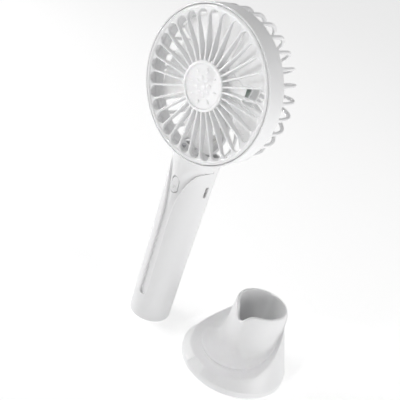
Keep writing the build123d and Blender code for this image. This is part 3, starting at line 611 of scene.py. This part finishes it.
def make_badge():
    """Round inlay with a plain pattern of raised dashes round a low boss."""
    face, back = BADGE_FACE, BADGE_FACE + BADGE_THICK
    outline = rounded([
        (0, face - 0.1, 0), (6, face - 0.08, 0), (BADGE_R, face + 0.05, 0.35),
        (BADGE_R, back, 0), (0, back, 0),
    ])
    shells = [head_lathe(outline, 144), dome(0, 0, 2.4, 2.4, face, 0.7)]
    half_step = radians(180 / DASHES)
    for i in range(DASHES):
        angle = radians(360 * i / DASHES)
        shells.append(dome(10.2, angle, 1.7, 0.85, face, 0.72))
        shells.append(dome(5.2, angle + half_step, 1.8, 0.95, face, 0.66))
    return build("badge", shells, sharp=50)


# ---------------------------------------------------------------- head: housing and cage
def make_housing():
    """Ring with a rounded lip round the grille and a ledge inside."""
    wall = RING_R - RING_WALL
    ledge, ledge_back = wall - 1.6, RING_DEPTH - 3.1
    seat, seat_back = RIM_R - 1.2, 3.4
    outline = rounded([
        (LIP_R, LIP_FRONT, 0.3), (RING_R, LIP_FRONT, 0.75), (RING_R, RING_DEPTH, 0.35),
        (wall, RING_DEPTH, 0.2), (wall, ledge_back, 0), (ledge, ledge_back, 0.2), (ledge, 6.6, 0.3),
        (seat, 5.6, 0.2), (seat, seat_back, 0.1), (LIP_R, seat_back, 0),
    ])
    return build("housing", [head_lathe(outline)])


def rib_path(start, end_radius, inset, steps=10):
    """(radius, depth, direction) points down the middle of a rib, from the flange in to the hub."""
    reach, depth, corner = CAGE_R - inset, CAGE_DEPTH - inset, CAGE_CORNER - inset
    turn_depth, turn_radius = CAGE_DEPTH - CAGE_CORNER, CAGE_R - CAGE_CORNER
    path = [(reach, mix(start, turn_depth, k / 3), 0.0) for k in range(3)]
    for k in range(steps + 1):
        turn = pi / 2 * k / steps
        path.append((turn_radius + corner * cos(turn), turn_depth + corner * sin(turn), turn))
    path += [(mix(turn_radius, end_radius, k / 4), depth, pi / 2) for k in range(1, 5)]
    return path


def rib_rings(angle, path, half_thick, half_wide, corner):
    """Rings of a rounded section along a rib's path, wider towards both ends."""
    rings = []
    for i, (r, d, turn) in enumerate(path):
        from_end = len(path) - 1 - i
        wide = half_wide * (1 + 0.5 * exp(-i * 1.3) + 0.35 * exp(-from_end * 1.1))
        section = rounded([
            (-half_thick, -wide, corner), (half_thick, -wide, corner),
            (half_thick, wide, corner), (-half_thick, wide, corner),
        ], 3)
        ring = []
        for out, across in section:
            ring.append(on_head(r + out * cos(turn), angle, d + out * sin(turn), across))
        rings.append(ring)
    return rings


def make_cage_ribs():
    """Thirty bent ribs."""
    path = rib_path(RIB_START, RIB_END_R, RIB_HALF_THICK)
    shells = []
    for i in range(SPOKES):
        angle = FIRST_SPOKE + i * PITCH
        shells.append(skin(rib_rings(angle, path, RIB_HALF_THICK, RIB_HALF_WIDE, RIB_CORNER)))
    return build("cage_ribs_round", shells, sharp=60)


def make_cage():
    """Flange, hub plate and wire duct of the rear cage."""
    seat = RING_R - RING_WALL
    rim, plug, bore = CAGE_R + 0.15, seat - 0.15, seat - 1.5
    plug_front, shoulder, back = RING_DEPTH - 2.9, RING_DEPTH + 0.1, RING_DEPTH + 1.6
    flange = rounded([
        (rim, shoulder, 0.3), (rim, back, 0.6), (bore, back, 0.6),
        (bore, plug_front, 0.3), (plug, plug_front, 0.2), (plug, shoulder, 0),
    ])
    plate, hole, well = CAGE_DEPTH - 3.2, 3.0, CAGE_HUB_R - 1.8
    hub = rounded([
        (hole, plate, 0.2), (CAGE_HUB_R, plate, 0.4), (CAGE_HUB_R, CAGE_DEPTH, 0.7),
        (well, CAGE_DEPTH, 0.4), (well, plate + 2, 0.2), (hole, plate + 2, 0.2),
    ])
    path = rib_path(RIB_START, RIB_END_R, 0.6)
    duct = skin(rib_rings(DUCT_ANGLE, path, DUCT_HALF_THICK, DUCT_HALF_WIDE, DUCT_CORNER))
    return build("cage", [head_lathe(flange), head_lathe(hub, 96), duct], sharp=45)


def make_rear_cap():
    """Slightly domed cap with a shallow groove near its edge."""
    radius, back = CAGE_HUB_R - 1.95, CAGE_DEPTH + 0.85
    skirt, skirt_front, inside = radius - 2, CAGE_DEPTH - 1.1, CAGE_DEPTH - 0.1
    outline = rounded([
        (0, back, 0), (radius - 4.2, back - 0.1, 0.4),
        (radius - 3.7, back - 0.4, 0.2), (radius - 3.1, back - 0.4, 0.2),
        (radius - 2.6, back - 0.15, 0.4), (radius, back - 0.3, 0.5), (radius, skirt_front, 0),
        (skirt, skirt_front, 0), (skirt, inside, 0), (0, inside, 0),
    ])
    return build("back_cap", [head_lathe(outline, 144)])


# ---------------------------------------------------------------- head: impeller
def blade_section(r, angle, steps=14):
    """Points round a blade's cambered section at a radius."""
    middle = (IMPELLER_FRONT + IMPELLER_BACK) / 2
    chord = follow(BLADE_CHORD, r)
    pitch = radians(follow(BLADE_PITCH, r))
    chord *= 1 - 0.12 * max(0.0, (r - 41) / 3.5) ** 2.5
    half_thick = mix(BLADE_ROOT_HALF, BLADE_TIP_HALF, (r - 14) / 31)
    top, under = [], []
    for k in range(steps + 1):
        s = -0.5 * cos(pi * k / steps)
        fat = half_thick * (1 - (2 * abs(s)) ** 6) ** 0.5 if abs(s) < 0.5 else 0.0
        camber = BLADE_CAMBER * chord * (1 - (2 * s) ** 2)
        for side, line in ((-1, top), (1, under)):
            off = side * fat - camber
            along = s * chord * cos(pitch) - off * sin(pitch)
            deep = s * chord * sin(pitch) + off * cos(pitch)
            line.append(on_head(r, angle + along / r, middle + deep))
    return top + under[-2:0:-1]


def make_impeller():
    """Hub cup and twisted blades, each from inside the hub to its round-cornered tip."""
    web = IMPELLER_FRONT + IMPELLER_WEB
    hub = rounded([
        (0, IMPELLER_FRONT, 0), (IMPELLER_HUB_R, IMPELLER_FRONT, 2.6),
        (IMPELLER_HUB_R, IMPELLER_BACK, 0.3), (IMPELLER_BORE_R, IMPELLER_BACK, 0.2),
        (IMPELLER_BORE_R, web, 0.2), (0, web, 0),
    ])
    radii = (14.2, 16, 19, 23, 28, 33, 38, 41, 42.6, 43.6, 44.1, IMPELLER_R - 0.05)
    shells = [head_lathe(hub, 120)]
    for i in range(BLADES):
        angle = FIRST_BLADE + 2 * pi * i / BLADES
        shells.append(skin([blade_section(r, angle) for r in radii]))
    return build("impeller_wheel", shells, sharp=55)


# ---------------------------------------------------------------- handle
def handle_r(z):
    """Radius of the sleeve at a height: straight at first, then slightly wider upwards."""
    share = (z - STRAIGHT_END) / (SLEEVE_TOP - STRAIGHT_END)
    return mix(HANDLE_R_LOW, HANDLE_R_HIGH, max(0.0, min(1.0, share)))


def neckline_half(z):
    """Half the width of the opening down the sleeve's front, at a height."""
    if z <= CHANNEL_END:
        return 0.0
    if z < CHANNEL_END + CHANNEL_HALF:
        return sqrt(CHANNEL_HALF**2 - (CHANNEL_END + CHANNEL_HALF - z) ** 2)
    rise = max(0.0, (z - NECKLINE_START) / (SLEEVE_TOP - NECKLINE_START))
    return CHANNEL_HALF + NECKLINE_SPREAD * rise**NECKLINE_POWER + SHOULDER_SPREAD * rise**SHOULDER_POWER


def neckline_angle(z):
    """Angle from the front at which the sleeve starts, at a height."""
    return asin(min(1.0, neckline_half(z) / handle_r(z)))


def neckline_height(angle):
    """Height of the sleeve's edge at an angle from the front."""
    low, high = CHANNEL_END, SLEEVE_TOP
    for _ in range(30):
        middle = (low + high) / 2
        low, high = (middle, high) if neckline_angle(middle) < angle else (low, middle)
    return low


def on_handle(radius, angle, z):
    """Point at an angle from the front, positive towards +X."""
    return Vector((radius * sin(angle), -radius * cos(angle), z))


def sleeve_heights():
    """Heights of the sleeve's rows, closest together where the neckline turns."""
    heights = [2.6, 8, 14, 18, CHANNEL_END]
    heights += [CHANNEL_END + CHANNEL_HALF * (1 - cos(radians(turn))) for turn in (38, 60, 76, 90)]
    heights += [28, 34, STRAIGHT_END, 46, 54, 62, 70, 76, 82, 87, 92, 96, 99, 102, 105]
    heights += [neckline_height(radians(turn)) for turn in (*range(24, 90, 3), 89.6)]
    heights.append(SLEEVE_TOP)
    return heights


def sleeve_row(radius, z, columns=96):
    """Points round the sleeve from one side of the opening to the other."""
    start = neckline_angle(z)
    row = []
    for k in range(columns + 1):
        t = k / columns
        row.append(on_handle(radius, start + (2 * pi - 2 * start) * t, z))
    return row


def port_cutter():
    """Stadium-shaped cutter for the charging slot, with a chamfered mouth."""
    rings = []
    for x, grow in ((8.0, 0.0), (16.0, 0.0), (16.3, 0.15), (19.0, 1.5)):
        wide, long = PORT_HALF_WIDTH + grow, PORT_HALF_LENGTH + grow
        outline = rounded([
            (-wide, -long, PORT_CORNER), (wide, -long, PORT_CORNER),
            (wide, long, PORT_CORNER), (-wide, long, PORT_CORNER),
        ], 8)
        rings.append([Vector((x, PORT.y + y, PORT.z + z)) for y, z in outline])
    return build("port_cutter", [skin(rings)])


def make_sleeve():
    """Grip tube with a rounded foot, the neckline, the long channel and the charging slot."""
    rows = [sleeve_row(FOOT_HOLE_R, 0.0), sleeve_row(12.4, 0.0)]
    for k in range(7):
        turn = pi / 2 * k / 6
        inwards, upwards = FOOT_CORNER * (1 - sin(turn)), FOOT_CORNER * (1 - cos(turn))
        rows.append(sleeve_row(HANDLE_R_LOW - inwards, upwards))
    rows += [sleeve_row(handle_r(z), z) for z in sleeve_heights()]
    sleeve = build("sleeve", [skin(rows, closed=False, capped=False)])
    wall = sleeve.modifiers.new("wall", "SOLIDIFY")
    wall.thickness = SLEEVE_WALL * MM
    wall.offset = -1
    wall.use_even_offset = True
    apply_modifiers(sleeve)
    round_neckline(sleeve)
    cut(sleeve, port_cutter())
    return sleeve


def round_neckline(sleeve):
    """Rounds the outer edge of the opening down the sleeve's front, below the shoulders.

    Further up the edge turns too sharply, and a bevel there would fold over itself.
    """
    mesh = sleeve.data
    weights = mesh.attributes.new("bevel_weight_edge", "FLOAT", "EDGE")
    bm = bmesh.new()
    bm.from_mesh(mesh)
    for edge in bm.edges:
        ends = [vertex.co / MM for vertex in edge.verts]
        outside = all(abs(Vector((p.x, p.y)).length - handle_r(p.z)) < 0.02 for p in ends)
        front = all(p.y < 0.5 and CHANNEL_END - 0.5 < p.z < ROUNDED_TO for p in ends)
        turned = len(edge.link_faces) == 2 and edge.calc_face_angle() > radians(50)
        if outside and front and turned:
            weights.data[edge.index].value = 1.0
    bm.free()
    bevel = sleeve.modifiers.new("edge", "BEVEL")
    bevel.width = EDGE_ROUND * MM
    bevel.segments = 4
    bevel.limit_method = "WEIGHT"
    bevel.use_clamp_overlap = False
    apply_modifiers(sleeve)


def saddle_height(radius, angle):
    """Height at which the neck meets the housing ring."""
    return HEAD_Z - sqrt(RING_R**2 - (radius * sin(angle)) ** 2)


def tongue_recess(angle, z):
    """How far the core lies below the sleeve's surface.

    It is deep in the channel and shallow at the handle's sides, and from there it rises to be
    flush away from the neckline, so that a soft valley runs along the sleeve's edge.
    """
    if z >= SLEEVE_TOP:
        return 0.0
    side = abs(angle)
    beside = (neckline_angle(z) - side) * handle_r(z)
    above = z - neckline_height(min(side, pi / 2))
    if beside <= 0 or above <= 0:
        return CHANNEL_RECESS
    away = beside * above / sqrt(beside**2 + above**2)
    lift = smooth((z - VALLEY_START) / VALLEY_RISE) * smooth(away / VALLEY_WIDTH)
    edge = mix(CHANNEL_RECESS, SIDE_RECESS, smooth((side - 0.6) / 0.7))
    return edge * (1 - lift)


def core_rows(first, last, columns):
    """Rows of points round part of the core, from its foot up to the housing ring."""
    heights = [CORE_LOW, 30, 60, 90, 96, *[97 + 0.8 * k for k in range(36)], SLEEVE_TOP - 0.05]
    angles = [mix(first, last, k / columns) for k in range(columns + 1)]
    rows = []
    for z in heights:
        rows.append([on_handle(handle_r(z) - tongue_recess(a, z), a, z) for a in angles])
    neck_rows = 8
    for k in range(neck_rows + 1):
        row = []
        for a in angles:
            z = mix(SLEEVE_TOP + 0.1, saddle_height(HANDLE_R_HIGH, a), k / neck_rows)
            row.append(on_handle(HANDLE_R_HIGH, a, z))
        rows.append(row)
    return rows


def core_shell(name, first, last, columns):
    """Half shell of the core between two angles round the handle."""
    core = build(name, [skin(core_rows(first, last, columns), closed=False, capped=False)])
    wall = core.modifiers.new("wall", "SOLIDIFY")
    wall.thickness = CORE_WALL * MM
    wall.offset = -1
    apply_modifiers(core)
    return core


def pill_outline(half_width, half_length, steps=12):
    """Stadium outline, long along the second direction."""
    corner = half_width * 0.999
    return rounded([
        (-half_width, -half_length, corner), (half_width, -half_length, corner),
        (half_width, half_length, corner), (-half_width, half_length, corner),
    ], steps)


def pill_ring(half_width, half_length, radius):
    """Stadium ring wrapped on a cylinder round the handle's axis."""
    ring = []
    for x, z in pill_outline(half_width, half_length):
        ring.append(Vector((x, -sqrt(radius**2 - x**2), BUTTON_Z + z)))
    return ring


def make_core_front():
    """Tongue in the neckline and channel, with the front of the neck and the button's pocket."""
    core = core_shell("tongue", -pi / 2, pi / 2, 150)
    wide, long = BUTTON_HALF_WIDTH + POCKET_GAP, BUTTON_HALF_LENGTH + POCKET_GAP
    pocket = [[Vector((x, y, BUTTON_Z + z)) for x, z in pill_outline(wide, long)] for y in (-9.0, -20.0)]
    cut(core, build("pocket_cutter", [skin(pocket)]))
    cut(core, port_cutter())
    return core


def make_core_rear():
    """Back half of the core, with its side of the charging slot."""
    core = core_shell("tongue_back", pi / 2, 3 * pi / 2, 90)
    cut(core, port_cutter())
    return core


def make_button():
    """Pill-shaped key on a flange, with a rolled edge and a slightly dished face."""
    flange = BUTTON_HALF_WIDTH + 0.7, BUTTON_HALF_LENGTH + 0.9
    rings = [pill_ring(*flange, FLANGE_LOW_R), pill_ring(*flange, FLANGE_HIGH_R)]
    rings.append(pill_ring(BUTTON_HALF_WIDTH, BUTTON_HALF_LENGTH, KEY_FOOT_R))
    edge = ((0, 0.75), (0.03, 0.45), (0.14, 0.2), (0.34, 0.05), (0.6, 0.0))
    face = ((1.0, 0.06), (1.5, 0.12), (2.2, 0.16))
    for inset, drop in edge + face:
        wide, long = BUTTON_HALF_WIDTH - inset, BUTTON_HALF_LENGTH - inset
        rings.append(pill_ring(wide, long, BUTTON_FACE_R - drop))
    return build("button_key", [skin(rings)], sharp=50)


def bead(route, half=0.34, rise=0.34):
    """Raised line on the key's face along (across, up) points."""
    rings = []
    for i, (x, z) in enumerate(route):
        before = Vector(route[max(i - 1, 0)])
        after = Vector(route[min(i + 1, len(route) - 1)])
        way = (after - before).normalized()
        across = Vector((way.y, -way.x))
        ring = []
        for side, lift in ((-1, -0.15), (-1, 0.5), (-0.5, 1), (0.5, 1), (1, 0.5), (1, -0.15)):
            px, pz = x + across.x * half * side, z + across.y * half * side
            radius = BUTTON_FACE_R - 0.16 + rise * lift
            ring.append(Vector((px, -sqrt(radius**2 - px**2), BUTTON_Z - MARK_DROP + pz)))
        rings.append(ring)
    return skin(rings)


def make_power_mark():
    """Generic on-off sign on the key: an open ring and a short bar."""
    gap, steps = radians(38), 28
    arc = [gap + (2 * pi - 2 * gap) * k / steps for k in range(steps + 1)]
    ring = [(MARK_R * sin(a), MARK_R * cos(a)) for a in arc]
    bar = [(0.0, 1.35 - 0.28 * k) for k in range(5)]
    return build("power_mark", [bead(ring), bead(bar)], sharp=50)


# ---------------------------------------------------------------- stand
def base_reach(angle, radius, back=CUP_BACK):
    """Distance from the cup's axis to a circle whose centre lies that far in front of the axis."""
    return back * cos(angle) + sqrt(radius**2 - (back * sin(angle)) ** 2)


def skirt_reach(angle, z):
    """Distance from the cup's axis to the leaning skirt at a height."""
    t = (z - BASE_BAND) / (SKIRT_TOP - BASE_BAND)
    return base_reach(angle, mix(BASE_R - 0.6, SKIRT_TOP_R, t), CUP_BACK * (1 - t))


def deck_at(angle, reach):
    """Height of the deck at an angle and distance from the cup's axis."""
    return follow(DECK_LINE, CUP_BACK - reach * cos(angle))


def crest(angle):
    """Height of the crease where the deck meets the skirt."""
    low, high = BASE_BAND, SKIRT_TOP - 1.5
    for _ in range(30):
        middle = (low + high) / 2
        above = deck_at(angle, skirt_reach(angle, middle)) > middle
        low, high = (middle, high) if above else (low, middle)
    return low


def rim_height(angle):
    """Height of the cup's rim, with the dip at its front."""
    top = STAND_HIGH.z
    if cos(angle) <= 0:
        return top
    across = (CUP_R + CUP_WALL / 2) * abs(sin(angle))
    dip = DIP_DEPTH / (1 + (across / DIP_HALF) ** DIP_POWER)
    return top - dip * smooth(cos(angle) / 0.35)


def foot_points(angle):
    """Outline of the hollow underneath and of the upright band round the base."""
    base, inside = base_reach(angle, BASE_R), base_reach(angle, BASE_R - BASE_WALL)
    ceiling, lowest = BASE_BAND - 2.2, 1.0
    points = [(0, HOLLOW_TOP), (HOLLOW_R, HOLLOW_TOP), (HOLLOW_R, ceiling), (inside, ceiling)]
    points += [(inside, lowest), (base - 0.35, lowest), (base, lowest + 0.35)]
    points += [(base, BASE_BAND - 0.6), (base - 0.2, BASE_BAND - 0.15)]
    return points


def flare_points(start, deck_z, slope, rim):
    """Curve that leaves the deck along its slope and climbs to the cup's upright wall."""
    end, top_z = CUP_OUTER_R + 0.35, max(deck_z + 1.2, mix(deck_z, rim - 1.5, 0.55))
    span, rise = start - CUP_OUTER_R, top_z - deck_z
    points = []
    for k in range(1, 15):
        t = k / 14
        from_start, to_end = 2 * t**3 - 3 * t**2 + 1, 3 * t**2 - 2 * t**3
        leaving, arriving = t**3 - 2 * t**2 + t, t**3 - t**2
        r = from_start * start + leaving * (-span * FLARE_START_PULL) + to_end * end
        z = from_start * deck_z + leaving * (slope * span * FLARE_START_PULL) + to_end * top_z
        points.append((r, z + arriving * rise * FLARE_END_PULL))
    for k in range(1, 4):
        points.append((mix(end, CUP_OUTER_R - 0.4, k / 4), mix(top_z, rim - RIM_ROUND, k / 4)))
    return points


def cup_points(rim):
    """Round rim, bore and floor of the cup."""
    middle, half = CUP_R + CUP_WALL / 2 - 0.25, (CUP_OUTER_R - 0.5 - CUP_R) / 2
    shoulder = rim - RIM_ROUND
    points = []
    for k in range(9):
        turn = pi * k / 8
        points.append((middle + half * cos(turn), shoulder + RIM_ROUND * sin(turn)))
    for k in range(1, 5):
        points.append((CUP_R, mix(shoulder, CUP_FLOOR + 0.8, k / 5)))
    points += [(CUP_R, CUP_FLOOR + 0.8), (CUP_R - 0.25, CUP_FLOOR + 0.2)]
    points += [(CUP_R - 0.8, CUP_FLOOR), (0, CUP_FLOOR)]
    return points


def stand_profile(angle):
    """Closed outline of the shell at an angle round the cup's axis, 0 towards the front."""
    crest_z = crest(angle)
    crest_r = skirt_reach(angle, crest_z)
    strip = mix(8.0, 3.2, smooth((crest_z - 9) / 20))
    step_r = max(CUP_OUTER_R + 1.2, crest_r - strip)
    step_z = min(deck_at(angle, step_r), crest_z + 6)
    points = foot_points(angle)
    for k in range(1, 9):
        z = mix(BASE_BAND, crest_z - 0.25, k / 8)
        points.append((skirt_reach(angle, z), z))
    points.append((crest_r - 0.25, crest_z))
    for k in range(1, 5):
        r = mix(crest_r - 0.25, step_r + 0.25, k / 4)
        points.append((r, mix(crest_z, step_z, k / 4)))
    start, deck_z = step_r - 0.3, step_z + DECK_STEP
    points += [(step_r + 0.08, step_z + 0.15), (step_r, deck_z - 0.3), (start, deck_z)]
    slope = deck_at(angle, start - 1) - deck_at(angle, start)
    rim = rim_height(angle)
    return points + flare_points(start, deck_z, slope, rim) + cup_points(rim)


def on_stand(angle, reach, z):
    """Point at an angle and distance from the cup's axis."""
    x, y = reach * sin(angle), -reach * cos(angle)
    c, s = cos(STAND_TURN), sin(STAND_TURN)
    return Vector((CUP.x + x * c - y * s, CUP.y + x * s + y * c, z))


def notch_cutter():
    """Cutter for a ramp-shaped finger notch in the front edge, widest at the outside."""
    front = CUP_BACK + BASE_R
    rings = []
    for inward, half, low in ((4.8, 4.4, 10.6), (0.2, 7.4, 4.2), (-3.4, 9.8, 0.4)):
        outline = rounded([
            (-half, low, 0.7), (half, low, 0.7), (half + 1.2, 15.0, 0), (-half - 1.2, 15.0, 0),
        ])
        reach = front - inward
        rings.append([on_stand(atan2(x, reach), sqrt(x**2 + reach**2), z) for x, z in outline])
    return build("notch_cutter", [skin(rings)])


def make_stand():
    """Sculpted base and cup in one moulding."""
    rings = []
    for i in range(STAND_STEPS):
        angle = 2 * pi * i / STAND_STEPS
        rings.append([on_stand(angle, r, z) for r, z in stand_profile(angle)])
    stand = build("stand_body", [skin(rings, looped=True)])
    cut(stand, notch_cutter())
    return stand


# ---------------------------------------------------------------- camera, light and floor
CAMERA_AZIMUTH, CAMERA_ELEVATION, CAMERA_ROLL = radians(34.99), radians(26.70), radians(18.18)
CAMERA_TARGET = Vector((29.7, -24.5, 117.7)) * MM
CAMERA_DISTANCE = 0.460
CAMERA_LENS = 66.49
WORLD_STRENGTH = 0.50
FLOOR_GLOW = 0.44
# Greyer zones of the surroundings: direction, cosine of the angle at the edge, light left.
TOWARDS_VIEWER = ((0.42, -0.90, 0.05), 0.40, 0.30)
UP_RIGHT = ((0.85, 0.30, 0.42), 0.55, 0.30)


def make_camera():
    """Camera at the viewing angle: fan seen from its right and above, leaning with the roll."""
    level = cos(CAMERA_ELEVATION)
    back = Vector((
        sin(CAMERA_AZIMUTH) * level,
        -cos(CAMERA_AZIMUTH) * level,
        sin(CAMERA_ELEVATION),
    ))
    data = bpy.data.cameras.new("camera")
    data.sensor_width = 36
    data.lens = CAMERA_LENS
    data.clip_start = 0.01
    camera = bpy.data.objects.new("camera", data)
    turn = (-back).to_track_quat("-Z", "Y").to_matrix().to_4x4()
    roll = Matrix.Rotation(CAMERA_ROLL, 4, "Z")
    camera.matrix_world = Matrix.Translation(CAMERA_TARGET + back * CAMERA_DISTANCE) @ (turn @ roll)
    bpy.context.scene.collection.objects.link(camera)
    bpy.context.scene.camera = camera


def grey_zone(nodes, links, way, edge, low):
    """Share of light that is left: 1 away from a direction, and low towards it."""
    dot = nodes.new("ShaderNodeVectorMath")
    dot.operation = "DOT_PRODUCT"
    dot.inputs[1].default_value = Vector(way).normalized()
    links.new(nodes.new("ShaderNodeTexCoord").outputs["Generated"], dot.inputs[0])
    shade = nodes.new("ShaderNodeMapRange")
    shade.interpolation_type = "SMOOTHSTEP"
    shade.inputs["From Min"].default_value = edge
    shade.inputs["From Max"].default_value = 0.95
    shade.inputs["To Min"].default_value = 1.0
    shade.inputs["To Max"].default_value = low
    links.new(dot.outputs["Value"], shade.inputs["Value"])
    return shade.outputs["Result"]


def make_world():
    """White surroundings with two soft grey zones: towards the viewer, and up on the right."""
    world = bpy.data.worlds.new("studio")
    world.use_nodes = True
    nodes, links = world.node_tree.nodes, world.node_tree.links
    strength = None
    for zone in (TOWARDS_VIEWER, UP_RIGHT):
        product = nodes.new("ShaderNodeMath")
        product.operation = "MULTIPLY"
        product.inputs[0].default_value = WORLD_STRENGTH
        links.new(grey_zone(nodes, links, *zone), product.inputs[1])
        if strength:
            links.new(strength, product.inputs[0])
        strength = product.outputs["Value"]
    links.new(strength, nodes["Background"].inputs["Strength"])
    nodes["Background"].inputs["Color"].default_value = (1, 1, 1, 1)
    bpy.context.scene.world = world


def make_area_light(name, where, aim, size, power, spread=180):
    """Square soft box; places and size in metres, power in watts, spread in degrees."""
    data = bpy.data.lights.new(name, "AREA")
    data.size = size
    data.energy = power
    data.spread = radians(spread)
    light = bpy.data.objects.new(name, data)
    where, aim = Vector(where), Vector(aim)
    turn = (aim - where).to_track_quat("-Z", "Y").to_matrix().to_4x4()
    light.matrix_world = Matrix.Translation(where) @ turn
    bpy.context.scene.collection.objects.link(light)


def make_lights():
    """Wide soft boxes on the left and low on the right, and weak narrow fills for head and stand."""
    whole, head, stand = (0.02, 0.0, 0.12), (0.0, 0.0, 0.19), (CUP.x * MM, CUP.y * MM, 0.03)
    make_area_light("soft_left", (-0.95, -0.38, 0.52), whole, 0.5, 4.2)
    make_area_light("soft_right", (1.1, 0.12, 0.25), whole, 0.6, 4.8)
    make_area_light("head_fill", (-0.05, -0.9, 0.35), head, 0.08, 0.008, spread=8)
    make_area_light("stand_fill", (-0.15, -0.75, 0.9), stand, 0.1, 0.007, spread=8)


def make_floor():
    """Plain white floor, faintly luminous like a light table."""
    size = 3000
    corners = [(-size, -size, 0), (size, -size, 0), (size, size, 0), (-size, size, 0)]
    floor = build("floor", [(corners, [[0, 1, 2, 3]])])
    finish = Finish("floor_white", (0.93, 0.93, 0.93), 0.7, specular=0.1)
    finish.vary((0.92, 0.92, 0.92), 2, 0.5).grain(300, 2e-6)
    finish.shader.inputs["Emission Color"].default_value = (1, 1, 1, 1)
    finish.shader.inputs["Emission Strength"].default_value = FLOOR_GLOW
    floor.data.materials.append(finish.done())


# ---------------------------------------------------------------- put together
bpy.context.scene.view_settings.view_transform = "Standard"
make_camera()
make_world()
make_lights()
make_floor()
finish_cad_nodes()

place(make_grille(), "fan", "shell_white", "front_grille")
place(make_badge(), "fan", "badge_grey", "hub_badge")
place(make_housing(), "fan", "shell_white", "head_housing")
place(make_cage(), "fan", "shell_white", "rear_cage")
place(make_cage_ribs(), "fan", "shell_white", "cage_ribs")
place(make_rear_cap(), "fan", "shell_white", "rear_cap")
place(make_impeller(), "rotor", "impeller_white", "impeller")
place(make_sleeve(), "fan", "shell_white", "handle_sleeve")
place(make_core_front(), "fan", "core_white", "core_front")
place(make_core_rear(), "fan", "core_white", "core_rear")
place(make_button(), "button", "core_white", "power_button")
place(make_power_mark(), "button", "core_white")
place(make_stand(), "stand", "shell_white", "stand_shell")
